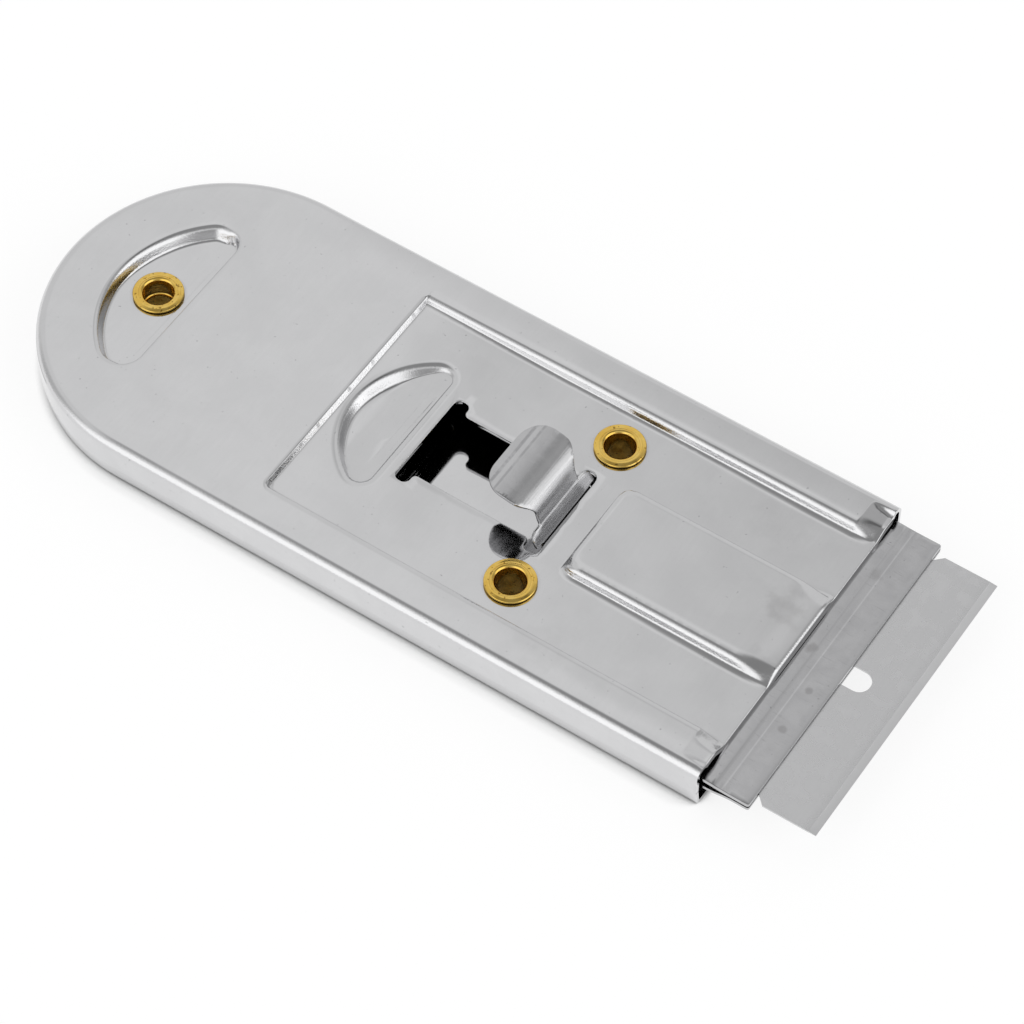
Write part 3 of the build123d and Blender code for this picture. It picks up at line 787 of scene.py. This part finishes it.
def make_upper_jaw():
    """The plate over the blade, with slots for the eyelets' barrels."""
    far = [(X_LIP, JAW_HALF), (UPPER_JAW_REAR, JAW_HALF), (UPPER_JAW_REAR, LEAF_NOTCH_HALF),
           (LEAF_NOTCH_END, LEAF_NOTCH_HALF)]
    corners = [(X_LIP, -JAW_HALF), *far, *[(x, -y) for x, y in far[:0:-1]]]
    radii = [JAW_CORNER] * 3 + [0] * 4 + [JAW_CORNER]
    outline = spread_along(rounded_loop(corners, radii, 0.1), 1.0)
    holes = []
    for middle in (EYELET_SIDE, -EYELET_SIDE):
        low, high = middle - EYELET_SLOT_HALF, middle + EYELET_SLOT_HALF
        ends = [(EYELET_SLOT_REAR, low), (EYELET_SLOT_FRONT, low), (EYELET_SLOT_FRONT, high),
                (EYELET_SLOT_REAR, high)]
        holes.append(rounded_loop(ends, [2.2] * 4, 0.2))
    rows = [across(x, JAW_HALF - 0.2, 1.0) for x in UPPER_JAW_X[1:-1]]
    rows += [(inset_loop(outline, gap), True) for gap in (0.05, 0.1)]
    return flat_piece("jaw_plate", outline, holes + RIVET_HOLES, rows, 1.5,
                      lambda x, y: upper_jaw_level(x, y) + JAW_SHEET, upper_jaw_level, rim=0.1)


def make_lower_jaw():
    """The plate under the blade."""
    corners = [(X_LIP, -JAW_HALF), (X_LIP, JAW_HALF), (LOWER_JAW_REAR, JAW_HALF),
               (LOWER_JAW_REAR, -JAW_HALF)]
    outline = spread_along(rounded_loop(corners, [JAW_CORNER] * 4, 0.1), 1.0)
    rows = [across(x, JAW_HALF - 0.1, 1.0) for x in LOWER_JAW_X[1:-1]]
    return flat_piece("jaw_step_plate", outline, RIVET_HOLES, rows, 1.5, lower_jaw_level,
                      lambda x, y: lower_jaw_level(x, y) - JAW_SHEET)


BLADE_HALF, BLADE_LENGTH, BLADE_SHEET, BLADE_MIDDLE = 20.0, 19.0, 0.25, 4.1
HOLE_FRONT, HOLE_REAR, HOLE_HALF = X_EDGE - 6.5 + 1.5, X_EDGE - 13.0, 1.5
NOTCH_DEPTH, GROUND_WIDTH = 2, 1.0


def make_blade():
    """The blade: notched on both sides, with a slot and a ground edge."""
    half, rear = BLADE_HALF, X_EDGE - BLADE_LENGTH
    side = [(X_EDGE - 6.9, half), (X_EDGE - 8.9, half - NOTCH_DEPTH), (X_EDGE - 10.9, half - NOTCH_DEPTH),
            (X_EDGE - 12.9, half)]
    corners = np.array([(X_EDGE, -half), (X_EDGE, half), *side, (rear, half), (rear, -half),
                        *[(x, -y) for x, y in side[::-1]]])
    outline = spread_along(corners, 1.0)
    hole = [(x, y * HOLE_HALF) for x, y in ((HOLE_FRONT, -1), (HOLE_FRONT, 1), (HOLE_REAR, 1),
                                            (HOLE_REAR, -1))]
    hole = rounded_loop(hole, [HOLE_HALF - 0.05] * 4, 0.15)
    ground = X_EDGE - GROUND_WIDTH
    rows = [across(ground, half, 1.0)]
    thin = lambda x: np.interp(x, [ground, X_EDGE], [BLADE_SHEET / 2, 0.02])
    return flat_piece("blade_plate", outline, [hole], rows, 2.0, lambda x, y: BLADE_MIDDLE + thin(x),
                      lambda x, y: BLADE_MIDDLE - thin(x))


upper_jaw = make_upper_jaw()
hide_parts("upper_jaw")
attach(upper_jaw, "blade_holder")
lower_jaw = make_lower_jaw()
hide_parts("lower_jaw")
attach(lower_jaw, "blade_holder")
blade = make_blade()
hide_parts("blade")
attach(blade, "cutting_blade")


# Nodes and groups for the finishes
def node(tree, kind, inputs=None, **settings):
    """A new node with its settings, and its inputs linked where a socket is given."""
    made = tree.nodes.new("ShaderNode" + kind)
    for name, value in settings.items():
        setattr(made, name, value)
    for name, value in (inputs or {}).items():
        if isinstance(value, bpy.types.NodeSocket):
            tree.links.new(value, made.inputs[name])
        else:
            made.inputs[name].default_value = value
    return made


def worked_out(operation, a, b=0.0):
    """The result of a sum on two values, the first from a socket."""
    return node(a.id_data, "Math", {0: a, 1: b}, operation=operation).outputs[0]


def times(a, b):
    return worked_out("MULTIPLY", a, b)


def plus(a, b):
    return worked_out("ADD", a, b)


def spread(value, low, high, to_low=0.0, to_high=1.0):
    """A value's range carried over to another one, with soft ends."""
    ranges = {"Value": value, "From Min": low, "From Max": high, "To Min": to_low, "To Max": to_high}
    return node(value.id_data, "MapRange", ranges, interpolation_type="SMOOTHSTEP").outputs[0]


def tint(mask, colour, other):
    """A colour that turns to another one under a mask."""
    return node(mask.id_data, "Mix", {0: mask, 6: colour, 7: other}, data_type="RGBA").outputs[2]


def place_on(tree):
    """Where a point lies on its piece."""
    return node(tree, "TexCoord").outputs["Object"]


def one_of(place, axis):
    """One coordinate of a place or direction."""
    return node(place.id_data, "SeparateXYZ", {0: place}).outputs[axis]


def noise(place, scale, detail, **more):
    """Noise over a place."""
    inputs = {"Vector": place, "Scale": scale, "Detail": detail, **more}
    return node(place.id_data, "TexNoise", inputs).outputs[0]


def new_group(name, inputs):
    """An empty node group with named inputs, their kinds and start values."""
    group = bpy.data.node_groups.new(name, "ShaderNodeTree")
    for label, value in inputs.items():
        kind = "NodeSocketVector" if isinstance(value, tuple) else "NodeSocketFloat"
        group.interface.new_socket(label, in_out="INPUT", socket_type=kind).default_value = value
    return group, group.nodes.new("NodeGroupInput").outputs


def giving(group, **values):
    """The group, with each value led to an output of its own."""
    for label in values:
        group.interface.new_socket(label, in_out="OUTPUT", socket_type="NodeSocketFloat")
    out = group.nodes.new("NodeGroupOutput").inputs
    for label, value in values.items():
        group.links.new(value, out[label])
    return group


def placed(tree, group, **values):
    """A group placed in a material with its own values."""
    inputs = {name.replace("_", " "): value for name, value in values.items()}
    return node(tree, "Group", inputs, node_tree=group).outputs


def rolled_grain_group():
    """The grain that rolling leaves in sheet steel, which runs across the scraper, and its clouds."""
    group, given = new_group("rolled grain", {"Across": 2500.0, "Along": 200.0, "Cloud": 260.0})
    place = place_on(group)
    size = node(group, "CombineXYZ", {0: given["Across"], 1: given["Along"], 2: given["Across"]}).outputs[0]
    stretched = node(group, "VectorMath", {0: place, 1: size}, operation="MULTIPLY").outputs[0]
    cloud = noise(place, given["Cloud"], 4.0, Roughness=0.55, Distortion=0.3)
    return giving(group, Grain=noise(stretched, 1.0, 3.0, Roughness=0.6), Clouds=spread(cloud, 0.3, 0.7))


def bent_sheet_group():
    """Where sheet was bent or drawn, by how it leans, and the rough marks that the bend left; also the
    steep inner walls of the pressed recesses, as a mask for painted shade.
    """
    group, given = new_group("bent sheet", {"Marks": 6000.0, "Lean from": 0.985, "Lean to": 0.9})
    upright = one_of(node(group, "NewGeometry").outputs["Normal"], 2)
    bend = times(spread(upright, given["Lean from"], given["Lean to"]), spread(upright, 0.12, 0.4))
    place = place_on(group)
    marks = noise(place, given["Marks"], 2.0, Roughness=0.7)
    from_middle = worked_out("ABSOLUTE", one_of(place, 1))
    # the steep walls inside the panel, where shade is painted into the recesses' creases
    steep = times(spread(upright, 0.37, 0.3), spread(upright, 0.1, 0.2))
    return giving(group, Bend=bend, Roughened=times(plus(marks, -0.5), bend),
                  Wall=times(steep, spread(from_middle, 0.0186, 0.0182)))


def edge_wear_and_highlight_group():
    """Edges painted lighter where the shape turns sharply, a painted highlight that also stands for rubbed
    wear, broken up a little.
    """
    group, given = new_group("edge wear and painted highlight", {"Width": 0.0001, "Breaks": 900.0})
    # painted highlight: the mask finds sharp edges by comparing a bevelled normal with the true one
    soft = node(group, "Bevel", {"Radius": given["Width"]}, samples=2).outputs[0]
    sharp = node(group, "NewGeometry").outputs["Normal"]
    same = node(group, "VectorMath", {0: soft, 1: sharp}, operation="DOT_PRODUCT").outputs["Value"]
    breaks = spread(noise(place_on(group), given["Breaks"], 2.0), 0.25, 0.55, 0.35, 1.0)
    return giving(group, Edge=times(spread(same, 0.985, 0.86), breaks))


def corner_grime_and_shade_group():
    """Grime and painted shade in corners and narrow gaps: darker where ambient occlusion is low, broken
    into patches.
    """
    group, given = new_group("corner grime and painted shade", {"Reach": 0.0004, "Patches": 900.0})
    # painted shade: the mask rises where ambient occlusion finds the surface closed in
    air = node(group, "AmbientOcclusion", {"Distance": given["Reach"]}, samples=2).outputs["AO"]
    patches = spread(noise(place_on(group), given["Patches"], 3.0), 0.3, 0.6, 0.4, 1.0)
    return giving(group, Grime=times(spread(air, 0.75, 0.3), patches))


def specks_group():
    """Tiny specks and pits, scattered unevenly."""
    group, given = new_group("specks", {"Scale": 2400.0, "Threshold": 0.73})
    over = worked_out("SUBTRACT", noise(place_on(group), given["Scale"], 1.0), given["Threshold"])
    return giving(group, Specks=spread(over, 0.0, 0.06))


def smudge_group():
    """One soft smudge with a ragged outline, at a place on the piece."""
    group, given = new_group("smudge", {"Centre": (0.0, 0.0, 0.0), "Reach": 0.003})
    place = place_on(group)
    gap = node(group, "VectorMath", {0: place, 1: given["Centre"]}, operation="DISTANCE").outputs["Value"]
    shake = spread(noise(place, 450.0, 2.0), 0.3, 0.7, -0.3, 0.3)
    ragged = plus(worked_out("DIVIDE", gap, given["Reach"]), shake)
    return giving(group, Smudge=spread(ragged, 1.0, 0.25))


grain_group = rolled_grain_group()
bend_group = bent_sheet_group()
edge_wear_highlight_group = edge_wear_and_highlight_group()
grime_and_shade_group = corner_grime_and_shade_group()
speck_group = specks_group()
spot_group = smudge_group()


# Materials
def grey(value, warmth=0.0):
    """A steel's colour from its reflectance."""
    return (value + warmth, value, value + 0.008 - warmth, 1.0)


def metal(name, **grain):
    """A new material with a bare metal shader, and the grain of its sheet."""
    material = bpy.data.materials.new(name)
    material.use_nodes = True
    material.node_tree.nodes["Principled BSDF"].inputs["Metallic"].default_value = 1.0
    return material, placed(material.node_tree, grain_group, **grain)


def masked(colour, group, share, other, **values):
    """A colour that turns to another one by a share of a group's mask."""
    return tint(times(placed(colour.id_data, group, **values)[0], share), colour, other)


def smudged(colour, smudges, other):
    """A colour with soft smudges in another one."""
    for place, reach, depth in smudges:
        centre = tuple(v * MM for v in place)
        colour = masked(colour, spot_group, depth, other, Centre=centre, Reach=reach * MM)
    return colour


def finished(material, colour, rough, relief, distance):
    """Gives a metal its colour, its roughness and its fine relief."""
    tree = material.node_tree
    bump = node(tree, "Bump", {"Height": relief, "Distance": distance, "Strength": 1.0}).outputs[0]
    for value, name in ((colour, "Base Color"), (rough, "Roughness"), (bump, "Normal")):
        tree.links.new(value, tree.nodes["Principled BSDF"].inputs[name])
    return material


# Where smudges lie: place and reach in millimetres, and how dark they are
CASE_SMUDGES = [
    ((40.6, 2.4, 5.8), 3.2, 0.22), ((41.5, -5.6, 5.9), 2.6, 0.12), ((34.0, 12.5, 5.6), 4.5, 0.05),
    ((-50.0, -17.5, 3.4), 2.4, 0.2), ((-56.5, -8.5, 3.6), 2.0, 0.22), ((20.0, -17.5, 6.8), 5.0, 0.06),
]
HOLDER_SMUDGES = [
    ((45.2, 0.6, 4.75), 0.9, 0.35), ((48.0, -4.6, 4.65), 0.6, 0.35), ((48.3, -10.5, 4.65), 0.7, 0.35),
    ((46.2, 13.0, 4.7), 1.2, 0.2),
]
# The paddle's rub marks near its end, and one broad painted shade across its middle (at 7.9): where along
# it, how wide, and how dark they are
RUB_MARKS_AND_SHADE = [(5.2, 0.3, 0.4), (6.1, 0.22, 0.3), (7.9, 1.2, 0.12)]


def case_finish():
    """Bright rolled steel, drawn rough along its bends, with faint clouds, specks and smudges, grime with
    painted shade in corners, painted shade on the steep recess walls and painted highlights on sharp edges.
    """
    material, grain = metal("polished case steel", Across=2300.0, Along=260.0, Cloud=190.0)
    bend = placed(material.node_tree, bend_group, Marks=5200.0)
    colour = tint(grain["Clouds"], grey(0.65), grey(0.68))
    colour = tint(times(grain["Grain"], 0.35), colour, grey(0.6))
    colour = smudged(colour, CASE_SMUDGES, grey(0.25, 0.01))
    colour = masked(colour, speck_group, 0.35, grey(0.25), Scale=2100.0, Threshold=0.745)
    # grime with painted shade, darker in corners and narrow gaps
    colour = masked(colour, grime_and_shade_group, 0.5, grey(0.12, 0.01), Reach=0.0005, Patches=800.0)
    # painted shade on the steep inner walls of the pressed recesses
    colour = tint(times(bend["Wall"], 0.6), colour, grey(0.25))
    # painted highlight on sharp edges, which also stands for rubbed wear
    colour = masked(colour, edge_wear_highlight_group, 0.6, grey(0.85), Width=0.00008)
    rough = plus(spread(grain["Clouds"], 0.0, 1.0, 0.04, 0.07), times(bend["Bend"], 0.09))
    relief = plus(times(grain["Grain"], 0.2), times(bend["Roughened"], 8.0))
    return finished(material, colour, rough, relief, 2.4e-6)


def holder_finish():
    """Duller rolled steel with scratches along the scraper and stains, grime with painted shade in corners,
    and painted highlights on sharp edges.
    """
    material, grain = metal("satin holder steel", Across=3000.0, Along=500.0, Cloud=420.0)
    scratch = placed(material.node_tree, grain_group, Across=500.0, Along=9000.0, Cloud=150.0)
    colour = tint(grain["Clouds"], grey(0.505), grey(0.55))
    colour = tint(spread(scratch["Grain"], 0.62, 0.72, 0.0, 0.4), colour, grey(0.3))
    colour = masked(colour, speck_group, 0.45, grey(0.2))
    colour = smudged(colour, HOLDER_SMUDGES, grey(0.2, 0.01))
    # grime with painted shade, darker in corners and narrow gaps
    colour = masked(colour, grime_and_shade_group, 0.4, grey(0.1, 0.01))
    # painted highlight on sharp edges, which also stands for rubbed wear
    colour = masked(colour, edge_wear_highlight_group, 0.5, grey(0.75), Width=0.00009)
    relief = plus(times(grain["Grain"], 0.4), times(scratch["Grain"], 0.3))
    return finished(material, colour, spread(grain["Clouds"], 0.0, 1.0, 0.1, 0.18), relief, 2.5e-6)


def blade_finish():
    """Ground blade steel: fine lines across, pale blotches and a bright ground edge."""
    material, grain = metal("ground blade steel", Across=4200.0, Along=300.0, Cloud=520.0)
    colour = tint(times(grain["Grain"], 0.5), grey(0.655), grey(0.6))
    colour = tint(spread(grain["Clouds"], 0.4, 1.0, 0.0, 0.35), colour, grey(0.74))
    colour = masked(colour, speck_group, 0.35, grey(0.25), Scale=2600.0, Threshold=0.745)
    along = one_of(place_on(material.node_tree), 0)
    ground = spread(along, (X_EDGE - 1.05) * MM, (X_EDGE - 0.9) * MM)
    colour = tint(times(ground, 0.8), colour, grey(0.78))
    # grime with painted shade, darker in corners and narrow gaps
    colour = masked(colour, grime_and_shade_group, 0.3, grey(0.1, 0.01))
    rough = plus(spread(grain["Clouds"], 0.0, 1.0, 0.22, 0.3), times(ground, 0.06))
    return finished(material, colour, rough, times(grain["Grain"], 0.6), 2.5e-6)


def lever_finish():
    """Spring steel, drawn into streaks at its bends, with dark rub marks near the paddle's end, painted
    shade across the paddle's middle, on the riser's front and its foot, a painted highlight along the fold,
    grime with painted shade in corners and painted highlights on sharp edges.
    """
    material, grain = metal("rubbed spring steel", Across=2600.0, Along=420.0, Cloud=330.0)
    tree = material.node_tree
    streak = placed(tree, grain_group, Across=4200.0, Along=180.0, Cloud=900.0)
    bend = placed(tree, bend_group, Marks=4200.0, Lean_from=0.93, Lean_to=0.82)
    colour = tint(grain["Clouds"], grey(0.53), grey(0.58))
    place = place_on(tree)
    along, height = one_of(place, 0), one_of(place, 2)
    # dark rub marks near the tip, and a broad painted shade over the paddle's middle
    for x, width, depth in RUB_MARKS_AND_SHADE:
        gap = worked_out("ABSOLUTE", plus(along, -x * MM))
        near = spread(gap, width * MM, 0.3 * width * MM)
        ragged = times(near, spread(streak["Clouds"], 0.0, 0.6, 0.35, 1.0))
        colour = tint(times(ragged, depth), colour, grey(0.16))
    # painted shade: darker from 10.7 mm forward over the riser's steep face and what lies in front, and
    # darker below 7.25 mm high over the ears and the riser's foot
    colour = tint(spread(along, 10.7 * MM, 11.3 * MM, 0.0, 0.5), colour, grey(0.4))
    colour = tint(spread(height, 7.25 * MM, 7.0 * MM, 0.0, 0.55), colour, grey(0.25))
    # painted highlight: a bright line along the fold where the riser turns to the ears
    fold_highlight = times(spread(height, 7.2 * MM, 7.32 * MM), spread(height, 7.6 * MM, 7.45 * MM))
    colour = tint(times(fold_highlight, 0.75), colour, grey(0.95))
    colour = masked(colour, speck_group, 0.3, grey(0.25))
    # grime with painted shade, darker in corners and narrow gaps
    colour = masked(colour, grime_and_shade_group, 0.45, grey(0.1, 0.01))
    # painted highlight on sharp edges, which also stands for rubbed wear
    colour = masked(colour, edge_wear_highlight_group, 0.7, grey(0.9), Width=0.0001)
    rough = plus(spread(grain["Clouds"], 0.0, 1.0, 0.13, 0.2), times(bend["Bend"], 0.05))
    streaks = times(times(plus(streak["Grain"], -0.5), bend["Bend"]), 9.0)
    relief = plus(plus(times(grain["Grain"], 0.45), streaks), bend["Roughened"])
    return finished(material, colour, rough, relief, 2.5e-6)


def brass_finish():
    """Yellow brass, tarnished and darkened by painted shade in its hollows, speckled, and painted lighter
    on sharp edges as a highlight and rubbed wear.
    """
    material, grain = metal("tarnished brass", Across=1700.0, Along=1700.0, Cloud=900.0)
    colour = tint(grain["Clouds"], (0.78, 0.5, 0.1, 1.0), (0.86, 0.6, 0.16, 1.0))
    # tarnish with painted shade, darker in hollows and under the flange
    colour = masked(colour, grime_and_shade_group, 0.5, (0.3, 0.15, 0.015, 1.0), Reach=0.0016, Patches=1300.0)
    specks = placed(material.node_tree, speck_group, Scale=2300.0, Threshold=0.66)[0]
    colour = tint(times(specks, 0.7), colour, (0.2, 0.1, 0.015, 1.0))
    # painted highlight on sharp edges, which also stands for rubbed wear
    colour = masked(colour, edge_wear_highlight_group, 0.35, (0.95, 0.78, 0.35, 1.0), Width=0.00012)
    relief = plus(times(grain["Grain"], 1.4), specks)
    return finished(material, colour, spread(grain["Clouds"], 0.0, 1.0, 0.11, 0.18), relief, 5e-6)


def finish_with(piece, material):
    """Gives a piece its one material."""
    piece.data.materials.clear()
    piece.data.materials.append(material)


case_steel, holder_steel, blade_steel = case_finish(), holder_finish(), blade_finish()
lever_steel, brass = lever_finish(), brass_finish()
for piece in (cover, tray):
    finish_with(piece, case_steel)
for piece in (upper_jaw, lower_jaw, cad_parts["lever_rivets"]):
    finish_with(piece, holder_steel)
for piece in (hang_ring, left_ring, right_ring):
    finish_with(piece, brass)
finish_with(lever, lever_steel)
finish_with(blade, blade_steel)


# Floor and studio light
FLOOR_HALF, FLOOR_DROP = 2.0, 0.02 * MM
FLOOR_GLOW, FLOOR_SHADE = 0.8, 0.27


def make_floor():
    """A pale floor that shows white where it is fully lit and keeps the scraper's shadow, partly from its
    matt shading and partly painted, as its glow fades where ambient occlusion is low.
    """
    corners = [(x * FLOOR_HALF, y * FLOOR_HALF, 0) for x, y in ((-1, -1), (1, -1), (1, 1), (-1, 1))]
    mesh = bpy.data.meshes.new("floor")
    mesh.from_pydata(corners, [], [(0, 1, 2, 3)])
    floor = bpy.data.objects.new("floor", mesh)
    floor.location.z = -FLOOR_DROP
    bpy.context.scene.collection.objects.link(floor)
    material = bpy.data.materials.new("pale floor")
    material.use_nodes = True
    tree = material.node_tree
    tree.nodes.clear()
    path = node(tree, "LightPath").outputs
    seen = worked_out("MAXIMUM", path["Is Camera Ray"], path["Is Glossy Ray"])
    # painted shadow: the glow fades where ambient occlusion is low, beside the scraper and under the
    # eyelets' bores
    air = node(tree, "AmbientOcclusion", {"Distance": 0.0036}, samples=8).outputs["AO"]
    strength = times(seen, spread(air, 0.3, 0.62, 0.0, FLOOR_GLOW))
    glow = node(tree, "Emission", {"Strength": strength}).outputs[0]
    matt = node(tree, "BsdfDiffuse", {"Color": spread(seen, 0.0, 1.0, 0.9, FLOOR_SHADE)}).outputs[0]
    both = node(tree, "AddShader", {0: matt, 1: glow}).outputs[0]
    node(tree, "OutputMaterial", {0: both})
    finish_with(floor, material)


def window_group():
    """A soft-edged window or dark card in the studio, as a value over the sky's directions."""
    inputs = {"Direction": (0.0, 0.0, 1.0), "Facing": (0.0, 0.0, 1.0), "Edge from": 0.5,
              "Edge to": 0.9, "Strength": 1.0}
    group, given = new_group("studio window", inputs)
    unit = node(group, "VectorMath", {0: given["Facing"]}, operation="NORMALIZE").outputs[0]
    facing = node(group, "VectorMath", {0: given["Direction"], 1: unit}, operation="DOT_PRODUCT")
    edge = spread(facing.outputs["Value"], given["Edge from"], given["Edge to"])
    return giving(group, Light=times(edge, given["Strength"]))


WALL_LIGHT = 0.98
# Each window or dark card of the studio: where it stands, its outer and inner reach in degrees,
# and what it adds to the walls' light
WINDOWS = [
    ("side window", (-0.3, -0.93, 0.2), 50, 20, 0.8),
    ("end window", (0.9, 0.1, 0.42), 34, 24, 0.8),
    ("low window, right", (0.89, 0.45, -0.02), 15, 5, 0.9),
    ("ceiling window", (-0.3, 0.42, 0.86), 14, 3, 0.1),
    ("dark ceiling", (0.04, -0.04, 1.0), 34, 17, -0.58),
    ("dark card over the paddle", (0.28, 0.48, 0.83), 22, 8, -0.35),
    ("dark card, far right", (0.5, 0.75, 0.4), 27, 12, -0.48),
    ("dark card, near right", (0.62, -0.68, 0.38), 28, 10, -0.48),
    ("dim corner, near left", (-0.82, -0.4, 0.42), 30, 8, -0.28),
    ("dim strip over the far rim", (-0.2, 0.56, 0.8), 10, 2, -0.2),
]


def light_world():
    """Pale studio walls with soft windows and dark cards; straight to the camera they are white."""
    world = bpy.data.worlds.new("studio")
    bpy.context.scene.world = world
    world.use_nodes = True
    tree = world.node_tree
    tree.nodes.clear()
    where = node(tree, "TexCoord").outputs["Generated"]
    group = window_group()
    total = WALL_LIGHT
    for name, facing, outer, inner, strength in WINDOWS:
        outer, inner = math.cos(math.radians(outer)), math.cos(math.radians(inner))
        inputs = {"Direction": where, "Facing": facing, "Edge from": outer, "Edge to": inner,
                  "Strength": strength}
        total = plus(node(tree, "Group", inputs, node_tree=group, label=name).outputs[0], total)
    camera = node(tree, "LightPath").outputs["Is Camera Ray"]
    white = node(tree, "Mix", {0: camera, 2: total, 3: 1.0}, data_type="FLOAT").outputs[0]
    light = node(tree, "Background", {"Strength": white}).outputs[0]
    node(tree, "OutputWorld", {0: light})


make_floor()
light_world()
bpy.context.scene.view_settings.view_transform = "Standard"
